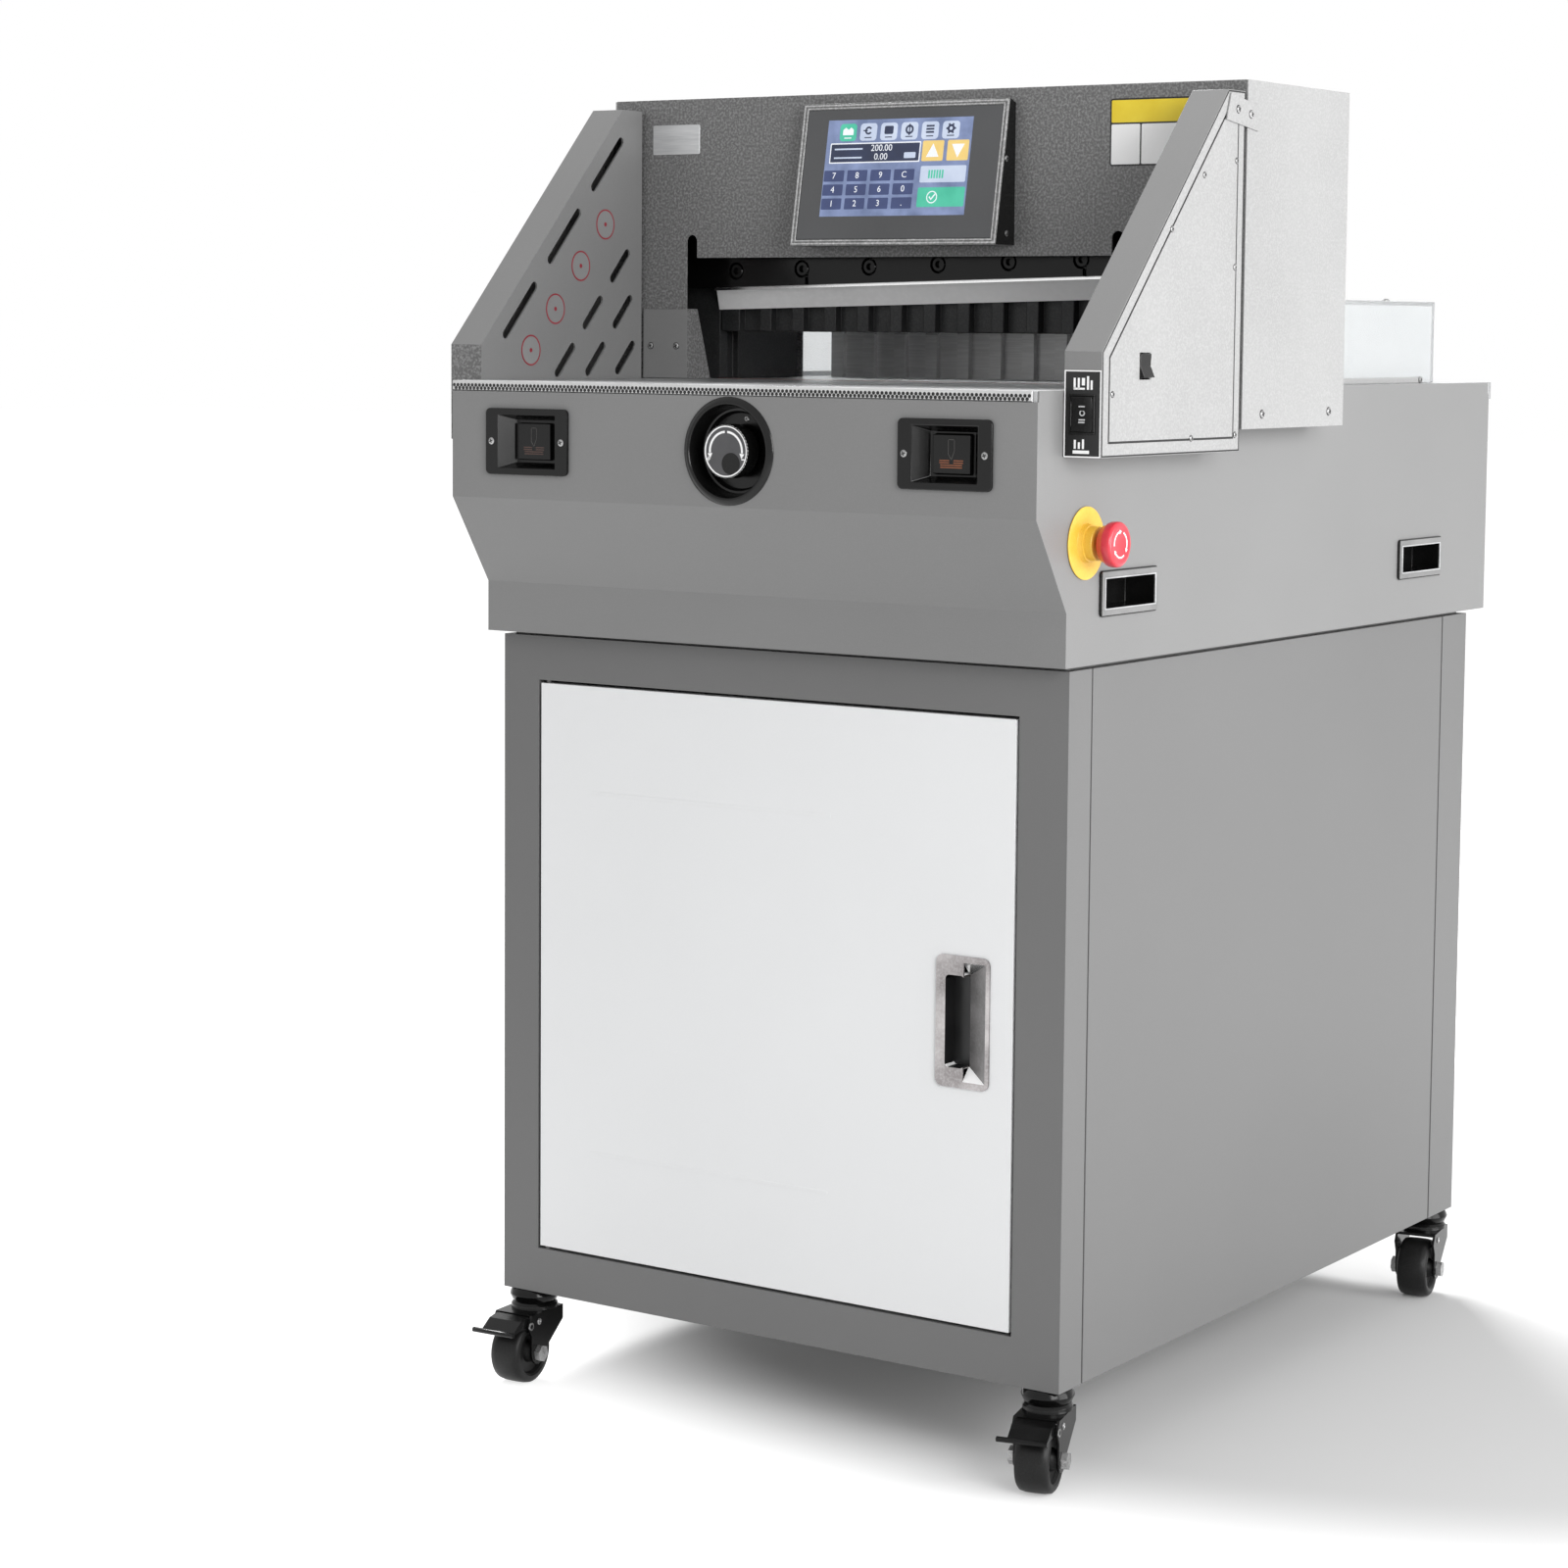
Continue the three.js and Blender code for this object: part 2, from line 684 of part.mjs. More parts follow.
// Door pull: a flat plate with a deep finger slot, and a dish that slopes in from the right to the slot.
function doorPull() {
  const face = cabinetFront - fitGap - pullProud;
  const floor = cabinetFront + pullDepth;
  const plate = prism('y', roundedRectangle(pullSpan, around(pullAboveFloor, pullHeight), pullCorner),
    [face, cabinetFront - fitGap]);
  const slot = (wall, run) => prism('y', roundedRectangle([pullSlotFrom - wall, pullSlotTo + wall],
    around(pullAboveFloor, pullSlotHeight + 2 * wall), pullSlotCorner + wall), run);
  const dish = (wall, front) => {
    const [near, far] = [face + wall, cabinetFront + pullDishDepth + wall];
    const [low, high] = around(pullAboveFloor, pullDishHeight + 2 * wall);
    const [deepLow, deepHigh] = around(pullAboveFloor, pullSlotHeight + 2 * wall);
    const start = pullSlotTo - pullDishLap;
    const end = pullDishTo + wall;
    const slope = prism('z', [[start, front], [end, front], [end, near], [pullSlotTo, far], [start, far]],
      [low - overrun, high + overrun]);
    const ends = [[front - overrun, low], [near, low], [far, deepLow], [far + overrun, deepLow],
      [far + overrun, deepHigh], [far, deepHigh], [near, high], [front - overrun, high]];
    return slope.intersect(prism('x', ends, [start - overrun, end + overrun]));
  };
  const shells = [slot(pullWall, [face + fitGap, floor + pullWall]), dish(pullWall, face + fitGap)];
  return cut(join(plate, ...shells), slot(0, [face - overrun, floor]), dish(0, face - overrun));
}
piece('door_pull', 'chrome', doorPull());

// Casters, each built round its swivel axis with the wheel forward of it.
const forkPlateBottom = forkPlateTop - forkPlateThickness;
const headBottom = forkPlateTop + raceHeight + fitGap;
const headTop = casterHeight - fitGap;

function casterHead() {
  const boreTop = headBottom + kingpinLength + fitGap;
  const bore = kingpinRadius + fitGap;
  const groove = lowerRaceRadius - (upperRaceRadius - lowerRaceRadius);
  const profile = [[0, boreTop], [bore, boreTop], [bore, headBottom], [groove, headBottom],
    [upperRaceRadius, (headBottom + headTop) / 2], [lowerRaceRadius, headTop - forkSheet], [groove, headTop],
    [stemRadius, headTop], [stemRadius, headTop + stemLength], [0, headTop + stemLength]];
  return lathe('z', profile, [0, 0, 0]);
}

function casterFork(hasPedal) {
  const outside = forkInside / 2 + forkSheet;
  const bolt = outside + boltThickness;
  const raceTop = forkPlateTop + raceHeight;
  const pinTop = headBottom + kingpinLength;
  const race = lathe('z', [[0, forkPlateTop - forkPlateThickness], [lowerRaceRadius, forkPlateTop],
    [lowerRaceRadius, forkPlateTop + raceHeight / 2], [lowerRaceRadius - forkSheet, raceTop],
    [kingpinRadius, raceTop], [kingpinRadius, pinTop], [0, pinTop]], [0, 0, 0]);
  const plate = box([-outside, outside], [-forkPlateFront, forkPlateBack], [forkPlateBottom, forkPlateTop]);
  const cheek = new THREE.Shape();
  cheek.moveTo(forkPlateBack, forkPlateTop);
  cheek.lineTo(forkPlateBack, forkPlateBottom - forkEyeRadius);
  cheek.absarc(-casterTrail, wheelRadius, forkEyeRadius, 0, -Math.PI, true);
  cheek.lineTo(-forkPlateFront, pedalPivotHeight - forkEyeRadius);
  cheek.lineTo(-pedalPivotForward - 2 * pedalPinRadius, pedalPivotHeight);
  cheek.lineTo(-forkPlateFront, forkPlateTop);
  const cheeks = [1, -1].map((side) => prism('x', cheek, onSide(side, forkInside / 2, outside)));
  const axlePlace = [0, -casterTrail, wheelRadius];
  const axle = rod('x', axleRadius, [-outside - fitGap, outside + fitGap], axlePlace, pinSides);
  const heads = [1, -1].map((side) => rod('x', boltRadius, onSide(side, outside, bolt), axlePlace, 6));
  const fork = join(race, plate, ...cheeks, axle, ...heads);
  if (!hasPedal) return fork;
  return cut(fork, rod('x', pedalPinRadius + fitGap, [-bolt, bolt],
    [0, -pedalPivotForward, pedalPivotHeight], pinSides));
}

function casterWheel() {
  const half = wheelWidth / 2;
  const hub = forkInside / 2 - fitGap;
  const rim = wheelRadius - wheelRim;
  const right = [[axleRadius + fitGap, hub], [hubRadius, hub], [hubRadius, half - wheelDish],
    [rim - wheelDish / 2, half - wheelDish], [rim, half],
    [wheelRadius - wheelShoulder / 3, half - wheelShoulder / 3],
    [wheelRadius, half - wheelShoulder]];
  const left = right.map(([radius, height]) => [radius, -height]).reverse();
  return lathe('x', [...right, ...left], [0, -casterTrail, wheelRadius], wheelSides);
}

function brakePedal() {
  const half = pedalWidth / 2;
  const top = forkPlateTop - pedalSheet / 2;
  const rear = -forkPlateFront - fitGap - pedalSheet;
  const nose = -pedalReach;
  const ridge = (rear + nose) / 2;
  const plate = [[rear, top], [ridge, top - pedalSheet], [nose, pedalBarHeight + pedalSheet],
    [nose, pedalBarHeight], [ridge, top - 2 * pedalSheet], [rear, top - pedalSheet]];
  const ear = [[rear, top], [ridge, top - pedalSheet], [nose, pedalBarHeight],
    [ridge, pedalPivotHeight - pedalSheet],
    [-pedalPivotForward - pedalPinRadius, pedalPivotHeight - 2 * pedalPinRadius],
    [-pedalPivotForward + 2 * pedalPinRadius, pedalPivotHeight - 2 * pedalPinRadius],
    [-pedalPivotForward + 2 * pedalPinRadius, pedalPivotHeight + pedalPinRadius]];
  const ears = [1, -1].map((side) => prism('x', ear, onSide(side, half - pedalSheet, half)));
  const pinEnd = forkInside / 2 + forkSheet + pedalPinProud;
  const pins = [1, -1].map((side) => rod('x', pedalPinRadius, onSide(side, half - pedalSheet, pinEnd),
    [0, -pedalPivotForward, pedalPivotHeight], pinSides));
  const bar = rod('x', pedalBarRadius, [-half - pedalBarOverhang, half], [0, nose, pedalBarHeight], pinSides);
  const shoeTop = top - pedalSheet;
  const shoe = box(around(0, pedalShoeWidth), [ridge, ridge + 4 * pedalSheet],
    [pedalPivotHeight - pedalSheet, shoeTop]);
  return join(prism('x', plate, [-half, half]), ...ears, ...pins, bar, shoe);
}

for (const { name, front, heading, x, y } of casters) {
  const stand = new THREE.Group();
  stand.position.set(x, y, 0);
  stand.rotation.z = THREE.MathUtils.degToRad(heading);
  machine.add(stand);
  piece(`caster_head_${name}`, 'blackSteel', casterHead(), stand);
  piece(`caster_fork_${name}`, 'blackSteel', casterFork(front), stand);
  piece(`caster_wheel_${name}`, 'rubber', casterWheel(), stand);
  if (front) piece(`brake_pedal_${name}`, 'blackSteel', brakePedal(), stand);
}

// Body casing: one folded tray, with a flange inside its top edge that carries the table.
const bezelHole = bezelCupRadius + bezelWall + fitGap;
const drawbarHole = [around(drawbarFromCentre, drawbarWidth + 2 * drawbarPlay),
  [drawbarFront - drawbarPlay, drawbarBack + drawbarPlay]];

function bodyHousing() {
  const frontBreak = tableHeight - frontFaceHeight;
  const chinTop = bodyBottom + frontChinHeight;
  const wallTop = tableHeight - fitGap;
  const profile = [[0, wallTop], [0, frontBreak], [frontSetback, chinTop], [frontSetback, bodyBottom],
    [bodyRear, bodyBottom], [bodyRear, wallTop]];
  const shell = prism('x', profile, [-bodySide, bodySide]);
  const inside = inset(profile, sheet);
  for (const corner of [inside.at(0), inside.at(-1)]) corner[1] = wallTop + overrun;
  const cavity = prism('x', inside, [sheet - bodySide, bodySide - sheet]);
  const flangeTop = tableBottom - fitGap;
  const flange = cut(
    box([-bodySide, bodySide], [0, bodyRear], [flangeTop - sheet, flangeTop]),
    box([tableFlange - bodySide, bodySide - tableFlange], [tableFlange, bodyRear - tableFlange],
      [flangeTop - sheet - overrun, flangeTop + overrun]),
    box([drawbarHole[0][0], bodySide - sheet], [frameFront, spindleFromFront + drawnutDepth / 2],
      [flangeTop - sheet - overrun, flangeTop + overrun]));
  const frontTrim = box([-bodySide - overrun, bodySide + overrun], [-overrun, stripThickness + fitGap],
    [tableHeight - stripHeight - fitGap, tableHeight + overrun]);
  const rearTrim = box([-bodySide - overrun, bodySide + overrun],
    [bodyRear - sheet - fitGap, bodyRear + overrun],
    [tableHeight - tableRearTongue - fitGap, tableHeight + overrun]);
  const knobHole = rod('y', bezelHole, [-overrun, bezelDepth + bezelWall + fitGap], [0, 0, knobHeight]);
  const wall = [-overrun, sheet + overrun];
  const buttonHoles = [1, -1].map((side) => box(
    around(side * buttonFromCentre, buttonBoxWidth + 2 * fitGap), wall,
    around(buttonHeightAboveFloor, buttonBoxHeight + 2 * fitGap)));
  const sideWall = [bodySide - sheet - overrun, bodySide + overrun];
  const gripHoles = [1, -1].flatMap((side) => [frontGripFromFront, rearGripFromFront].map((y) =>
    box(onSide(side, ...sideWall), around(y, gripMouthWidth + 2 * (gripWall + fitGap)),
      around(gripHeightAboveFloor, gripMouthHeight + 2 * (gripWall + fitGap)))));
  const stopHole = rod('x', stopBarrelRadius + fitGap, sideWall, [0, stopFromFront, stopHeight]);
  const inletHole = box(around(-inletFromCentre, inletBoxWidth + 2 * fitGap),
    [bodyRear - sheet - overrun, bodyRear + overrun], around(inletHeight, inletBoxHeight + 2 * fitGap));
  return cut(join(cut(shell, cavity), flange), frontTrim, rearTrim, knobHole, ...buttonHoles, ...gripHoles,
    stopHole, inletHole);
}
piece('body_housing', 'charcoalPaint', bodyHousing());

// Table: a machined plate with a groove for the stick, a slot for the gauge's foot and two lugs below.
function tablePlate() {
  const edge = bodySide - sheet - fitGap;
  const back = bodyRear - sheet - fitGap;
  const plate = box([-edge, edge], [stripThickness + fitGap, back], [tableBottom, tableHeight]);
  const tongue = box([-bodySide, bodySide], [back, bodyDepth], [tableHeight - tableRearTongue, tableHeight]);
  const lip = box([-bodySide, bodySide], [bodyRear + fitGap, bodyDepth],
    [tableHeight - tableLipHeight, tableHeight]);
  const lugs = [[frontLugBack - bearingLug, frontLugBack], [rearLugFront, rearLugBack]].map((run) =>
    box(around(0, bearingLugWidth), run, [gaugeScrewHeight - bearingLugWidth / 2, tableBottom]));
  const groove = box([-mouthLeft - stickOvershoot - fitGap, mouthRight + stickOvershoot + fitGap],
    around(knifeRear, stickSide + 2 * fitGap), [tableHeight - stickSide - fitGap, tableHeight + overrun]);
  const slotRun = [gaugeFront + gaugeFootMiddle - gaugeFootLength / 2 - gaugeSlotPlay,
    gaugeRearmost + gaugeFootMiddle + gaugeFootLength / 2 + gaugeSlotPlay];
  const slot = box(around(0, gaugeFootWidth + 2 * gaugeSlotPlay), slotRun,
    [tableBottom - overrun, tableHeight + overrun]);
  const barHole = box(...drawbarHole, [tableBottom - overrun, tableHeight + overrun]);
  const spindleBore = rod('z', spindleRadius + fitGap, [tableBottom - overrun, tableBottom + spindleSeat],
    [drawbarFromCentre, spindleFromFront, 0]);
  const screwBore = rod('y', gaugeScrewRadius + fitGap,
    [frontLugBack - gaugeScrewSeat, rearLugBack + overrun], [0, 0, gaugeScrewHeight]);
  const bezelRelief = rod('y', bezelHole, [-overrun, bezelDepth + bezelWall + fitGap], [0, 0, knobHeight]);
  return cut(join(plate, tongue, lip, ...lugs), groove, slot, barHole, spindleBore, screwBore, bezelRelief);
}
piece('table_plate', 'machinedTable', tablePlate());

piece('table_front_strip', 'aluminium', box([-bodySide, bodySide - stripRightEnd], [0, stripThickness],
  [tableHeight - stripHeight, tableHeight]));
piece('cutting_stick', 'redStick', box([-mouthLeft - stickOvershoot, mouthRight + stickOvershoot],
  around(knifeRear, stickSide), [tableHeight - stickSide, tableHeight]));

function handGrip(side, y) {
  const plateRun = [bodySide + fitGap, bodySide + fitGap + gripProud];
  const floor = plateRun[1] - gripDepth;
  const spanY = (length) => around(y, length);
  const spanZ = (length) => around(gripHeightAboveFloor, length);
  const plate = prism('x', roundedRectangle(spanY(gripWidth), spanZ(gripHeight), gripCorner),
    onSide(side, ...plateRun));
  const dish = box(onSide(side, floor - gripWall, plateRun[1]), spanY(gripMouthWidth + 2 * gripWall),
    spanZ(gripMouthHeight + 2 * gripWall));
  const hollow = box(onSide(side, floor, plateRun[1] + overrun), spanY(gripMouthWidth),
    spanZ(gripMouthHeight));
  return cut(join(plate, dish), hollow);
}
for (const [sideName, side] of [['right', 1], ['left', -1]]) {
  piece(`hand_grip_front_${sideName}`, 'blackPlastic', handGrip(side, frontGripFromFront));
  piece(`hand_grip_rear_${sideName}`, 'blackPlastic', handGrip(side, rearGripFromFront));
}

// Back-gauge knob in its dished bezel on the front
const bezelFace = -fitGap - bezelProud;
const shaftBore = knobShaftRadius + fitGap;
piece('handwheel_bezel', 'blackPlastic', lathe('y', [[shaftBore, bezelDepth], [bezelFloorRadius, bezelDepth],
  [bezelCupRadius, bezelFace], [bezelRadius - bezelLip, bezelFace], [bezelRadius, -fitGap],
  [bezelCupRadius + bezelWall, -fitGap], [bezelFloorRadius + bezelWall, bezelDepth + bezelWall],
  [shaftBore, bezelDepth + bezelWall]], [0, 0, knobHeight]));
piece('gauge_handwheel', 'blackPlastic', lathe('y', [[0, -knobProud], [knobRadius - knobChamfer, -knobProud],
  [knobRadius, knobChamfer - knobProud], [knobRadius, knobDepth - knobProud],
  [knobShaftRadius, knobDepth - knobProud], [knobShaftRadius, knobShaftEnd], [0, knobShaftEnd]],
[0, 0, knobHeight]));

// Two-hand cut buttons, each sunk in a tapered recess
const buttonFloorBack = buttonFloorDepth + buttonFloorSheet;

function buttonHousing(x) {
  const face = -fitGap - buttonPlateProud;
  const centre = [x, buttonHeightAboveFloor];
  const spans = (width, height) => [around(x, width), around(buttonHeightAboveFloor, height)];
  const plate = prism('y', roundedRectangle(...spans(buttonPlateWidth, buttonPlateHeight), buttonPlateCorner),
    [face, -fitGap]);
  const [boxWidth, boxHeight] = spans(buttonBoxWidth, buttonBoxHeight);
  const well = box(boxWidth, [face + fitGap, buttonBoxDepth], boxHeight);
  const cup = taperedPocket(centre, [face, buttonFloorDepth], [buttonMouthWidth, buttonMouthHeight],
    [buttonFloorWidth, buttonFloorHeight]);
  const [holeWidth, holeHeight] = spans(buttonWidth + 2 * fitGap, buttonHeight + 2 * fitGap);
  const hole = box(holeWidth, [face - overrun, buttonFloorBack + fitGap], holeHeight);
  const [pocketWidth, pocketHeight] = spans(buttonWidth + 2 * (buttonFlange + fitGap),
    buttonHeight + 2 * (buttonFlange + fitGap));
  const pocketBack = buttonFloorBack + buttonFlange + buttonTravel + 2 * fitGap;
  const pocket = box(pocketWidth, [buttonFloorBack, pocketBack], pocketHeight);
  return cut(join(plate, well), cup, hole, pocket);
}

function cutButton(x) {
  const spans = (margin) => [around(x, buttonWidth + 2 * margin),
    around(buttonHeightAboveFloor, buttonHeight + 2 * margin)];
  const [capWidth, capHeight] = spans(0);
  const [flangeWidth, flangeHeight] = spans(buttonFlange);
  const flangeFront = buttonFloorBack + fitGap;
  return join(box(capWidth, [buttonFloorDepth - buttonProud, flangeFront + buttonFlange], capHeight),
    box(flangeWidth, [flangeFront, flangeFront + buttonFlange], flangeHeight));
}
for (const [sideName, side] of [['right', 1], ['left', -1]]) {
  piece(`button_housing_${sideName}`, 'blackPlastic', buttonHousing(side * buttonFromCentre));
  piece(`cut_button_${sideName}`, 'blackPlastic', cutButton(side * buttonFromCentre));
}

// Stop button on the right side: a base with a disc, and a mushroom head that pushes in
const stopPlace = [bodySide + fitGap, stopFromFront, stopHeight];
const stopBore = stopStemRadius + fitGap;
const stopBoreEnd = stopStemRadius - stopBarrelLength;
const stopStemEnd = stopBoreEnd + stopTravel + fitGap;
const stopHeadBack = stopCollarLength + stopTravel + fitGap;
const stopHeadFront = stopHeadBack + stopHeadLength;
piece('estop_base', 'yellowPlastic', lathe('x', [[0, -stopBarrelLength],
  [stopBarrelRadius, -stopBarrelLength], [stopBarrelRadius, 0], [stopDiscRadius, 0],
  [stopDiscRadius, stopDiscThickness], [stopCollarRadius, stopDiscThickness],
  [stopCollarRadius, stopCollarLength], [stopBore, stopCollarLength],
  [stopBore, stopBoreEnd], [0, stopBoreEnd]], stopPlace));
piece('estop_head', 'redPlastic', lathe('x', [[0, stopStemEnd], [stopStemRadius, stopStemEnd],
  [stopStemRadius, stopHeadBack], [stopHeadRadius - stopHeadRound, stopHeadBack],
  [stopHeadRadius, stopHeadBack + stopHeadRound], [stopHeadRadius, stopHeadFront - stopHeadRound],
  [stopHeadRadius - stopHeadRound / 3, stopHeadFront - stopHeadRound / 3],
  [stopHeadRadius - stopHeadRound, stopHeadFront], [0, stopHeadFront]], stopPlace));

// Portal frame: two uprights and the beam between them, with grooves for the clamp and the knife's block
const frameTop = tableHeight + frameHeight;
const leftUpright = [-mouthLeft - clampGap - leftUprightWidth, -mouthLeft - clampGap];
const rightUpright = [mouthRight + clampGap, mouthRight + clampGap + rightUprightWidth];
const strokeDirection = [-knifeShift / knifeStroke, -knifeDrop / knifeStroke];

// A rectangle in the (x, z) plane that lies along the knife's stroke, from the pivot's place at rest.
function alongStroke(back, forth, width) {
  const [dx, dz] = strokeDirection;
  const corners = [[-back, -width / 2], [forth, -width / 2], [forth, width / 2], [-back, width / 2]];
  return corners.map(([along, across]) => [
    along * dx - across * dz - pivotFromCentre,
    along * dz + across * dx + pivotHeight,
  ]);
}

function bridgeFrame() {
  const foot = tableHeight + fitGap;
  const rise = [foot, frameTop];
  const uprights = [leftUpright, rightUpright].map((run) => box(run, [frameFront, frameBack], rise));
  const beamRise = [tableHeight + beamBottom, frameTop];
  const beam = box([leftUpright[0], rightUpright[1]], [beamFront, beamBack], beamRise);
  const channel = box([leftUpright[1], rightUpright[0]], [beamFront + beamWall, beamBack + overrun],
    [beamRise[0] + beamWall, frameTop - beamWall]);
  const grooveRun = [tongueFront - fitGap, tongueFront + tongueWidth + fitGap];
  const grooveRise = [foot - overrun, frameTop + overrun];
  const grooves = [[-mouthLeft - tongueLength, leftUpright[1] + overrun],
    [rightUpright[0] - overrun, mouthRight + tongueLength]].map((run) => box(run, grooveRun, grooveRise));
  const reach = slideBlockLength / 2 + fitGap;
  const guide = prism('y', alongStroke(reach, knifeStroke + reach, slideBlockWidth + 2 * fitGap),
    [frameFront - overrun, frameFront + slideBlockDepth + fitGap]);
  return cut(join(...uprights, beam), channel, ...grooves, guide);
}
piece('bridge_frame', 'castIron', bridgeFrame());

// Hood over the portal, with the mouth in its front, a lower one in its back and a guard plate on the left
const hoodEdge = bridgeSide - sheet - fitGap;

function bridgeCover() {
  const span = [-hoodEdge, hoodEdge];
  const hood = box(span, [bridgeFront, bridgeBack], [bridgeSkirtEdge, bridgeTop]);
  const inside = box([-hoodEdge - overrun, hoodEdge + overrun], [bridgeFront + sheet, bridgeBack - sheet],
    [bridgeSkirtEdge - overrun, bridgeTop - sheet]);
  const foot = tableHeight + fitGap;
  const bodyCut = box([-bodySide - fitGap, bodySide + fitGap], [bridgeFront - overrun, bridgeBack + overrun],
    [bridgeSkirtEdge - overrun, foot]);
  const front = [bridgeFront - overrun, bridgeFront + sheet + overrun];
  const mouth = box([-mouthLeft, mouthRight], front, [bridgeSkirtEdge, tableHeight + mouthHeight]);
  const earRadius = mouthEarWidth / 2;
  const earTop = tableHeight + mouthEarHeight - earRadius;
  const ears = [earRadius - mouthLeft, mouthRight - earRadius].flatMap((x) => [
    box(around(x, mouthEarWidth), front, [foot, earTop]),
    rod('y', earRadius, front, [x, 0, earTop], pinSides),
  ]);
  const rearMouth = box([-mouthLeft, mouthRight], [bridgeBack - sheet - overrun, bridgeBack + overrun],
    [bridgeSkirtEdge, tableHeight + rearMouthHeight]);
  const guardFront = bridgeFront - guardSheet;
  const guardTop = tableHeight + guardHeight;
  const guard = box([-bodySide, -guardRight], [guardFront, bridgeFront], [foot, guardTop]);
  const guardReturn = prism('x', [[guardFront, foot], [guardFront, guardTop],
    [bridgeFront + guardTopReturn, guardTop], [bridgeFront + guardFootReturn, foot]],
  [-guardRight - guardSheet, -guardRight]);
  return join(cut(hood, inside, bodyCut, mouth, ...ears, rearMouth), guard, guardReturn);
}
piece('bridge_cover', 'hammerPaint', bridgeCover());

// Side covers of the bridge: plates with a folded rim that fits inside the hood
function sideCover(side) {
  const plate = box(onSide(side, bridgeSide - sheet, bridgeSide), [bridgeFront, bridgeBack],
    [bridgeSkirtEdge, bridgeTop]);
  const inner = bridgeSide - sheet - wingLip;
  const rim = box(onSide(side, inner, bridgeSide - sheet),
    [bridgeFront + sheet + fitGap, bridgeBack - sheet - fitGap],
    [bridgeSkirtEdge, bridgeTop - sheet - fitGap]);
  const inside = box(onSide(side, inner - overrun, bridgeSide - sheet),
    [bridgeFront + 2 * sheet + fitGap, bridgeBack - 2 * sheet - fitGap],
    [bridgeSkirtEdge + sheet, bridgeTop - 2 * sheet - fitGap]);
  return join(plate, cut(rim, inside));
}

// Wings beside the table: slotted trays whose outer side is closed by a rebated cover
const wingProfile = [[wingFront, tableHeight - wingDrop], [wingBack, tableHeight - wingDrop],
  [wingBack, tableHeight + wingTop], [wingTopFront, tableHeight + wingTop],
  [wingFront, tableHeight + wingBreakHeight]];
const wingInner = bodySide + fitGap;
const wingOuter = wingInner + wingThickness;

function wingSlots(side) {
  const start = new THREE.Vector2(...wingProfile[4]);
  const edge = new THREE.Vector2(...wingProfile[3]).sub(start).normalize();
  const inwards = new THREE.Vector2(edge.y, -edge.x);
  const slot = (along, depth, length) => {
    const place = start.clone().addScaledVector(edge, along + slotWidth / 2).addScaledVector(inwards, depth);
    const outline = slotOutline([place.x, place.y], [edge.x, edge.y], length, slotWidth);
    return prism('x', outline, onSide(side, wingInner - overrun, wingInner + sheet + overrun));
  };
  const slots = [];
  for (let i = 0; i < longSlotCount; i += 1) {
    slots.push(slot(longSlotFirst + i * longSlotPitch, longSlotFromEdge, longSlotLength));
  }
  for (let row = 0; row < shortSlotRowCount; row += 1) {
    for (let i = 0; i < shortSlotRowCount - row; i += 1) {
      const along = shortSlotFirst + row * shortSlotRowPitch + i * shortSlotPitch;
      slots.push(slot(along, shortSlotFromEdge + row * shortSlotRowPitch, shortSlotLength));
    }
  }
  return slots;
}

function wingShell(side) {
  const coverSeat = wingOuter - sheet - fitGap;
  const rim = (distance, from, to) => prism('x', inset(wingProfile, distance), onSide(side, from, to));
  const shell = prism('x', wingProfile, onSide(side, wingInner, wingOuter));
  const hollow = rim(sheet, wingInner + sheet, coverSeat - sheet);
  const rebate = rim(wingLip, coverSeat, wingOuter + overrun);
  const openingBorder = wingLip + wingCoverGroove + wingCoverLap;
  const opening = rim(openingBorder, coverSeat - sheet - overrun, wingOuter + overrun);
  const wing = cut(shell, hollow, rebate, opening, ...wingSlots(side));
  if (side < 0) return wing;
  return cut(wing, box(around((wingInner + wingOuter) / 2, rockerWidth + 2 * fitGap),
    [wingFront - overrun, wingFront + sheet + overrun],
    around(rockerAboveFloor, rockerHeight + 2 * switchPlay)));
}

function wingCover(side) {
  const cover = prism('x', inset(wingProfile, wingLip + wingCoverGroove),
    onSide(side, wingOuter - sheet, wingOuter));
  if (side < 0) return cover;
  return cut(cover, box([wingOuter - sheet - overrun, wingOuter + overrun],
    around(powerFromFront, powerWidth + 2 * fitGap), around(powerAboveFloor, powerHeight + 2 * switchPlay)));
}

for (const [sideName, side] of [['right', 1], ['left', -1]]) {
  piece(`side_cover_${sideName}`, 'greyPaint', sideCover(side));
  piece(`wing_shell_${sideName}`, 'charcoalPaint', wingShell(side));
  piece(`wing_cover_${sideName}`, 'greyPaint', wingCover(side));
}

// A rocker's section, with depth first and height second, round its own pivot.
function rockerOutline(height) {
  const half = height / 2;
  const root = half * switchRootShare;
  return [[-switchProud, half], [switchDip - switchProud, 0], [-switchProud, -half], [sheet, -half],
    [switchDepth, -root], [switchDepth, root], [sheet, half]];
}

piece('rocker_switch', 'blackPlastic', prism('x', rockerOutline(rockerHeight).map(([depth, z]) =>
  [wingFront + depth, rockerAboveFloor + z]), around((wingInner + wingOuter) / 2, rockerWidth)));

const powerStand = new THREE.Group();
powerStand.position.set(wingOuter, powerFromFront, powerAboveFloor);
powerStand.rotation.y = THREE.MathUtils.degToRad(-powerTilt);
machine.add(powerStand);
piece('power_switch', 'blackPlastic', prism('y', rockerOutline(powerHeight).map(([depth, z]) => [-depth, z]),
  around(0, powerWidth)), powerStand);

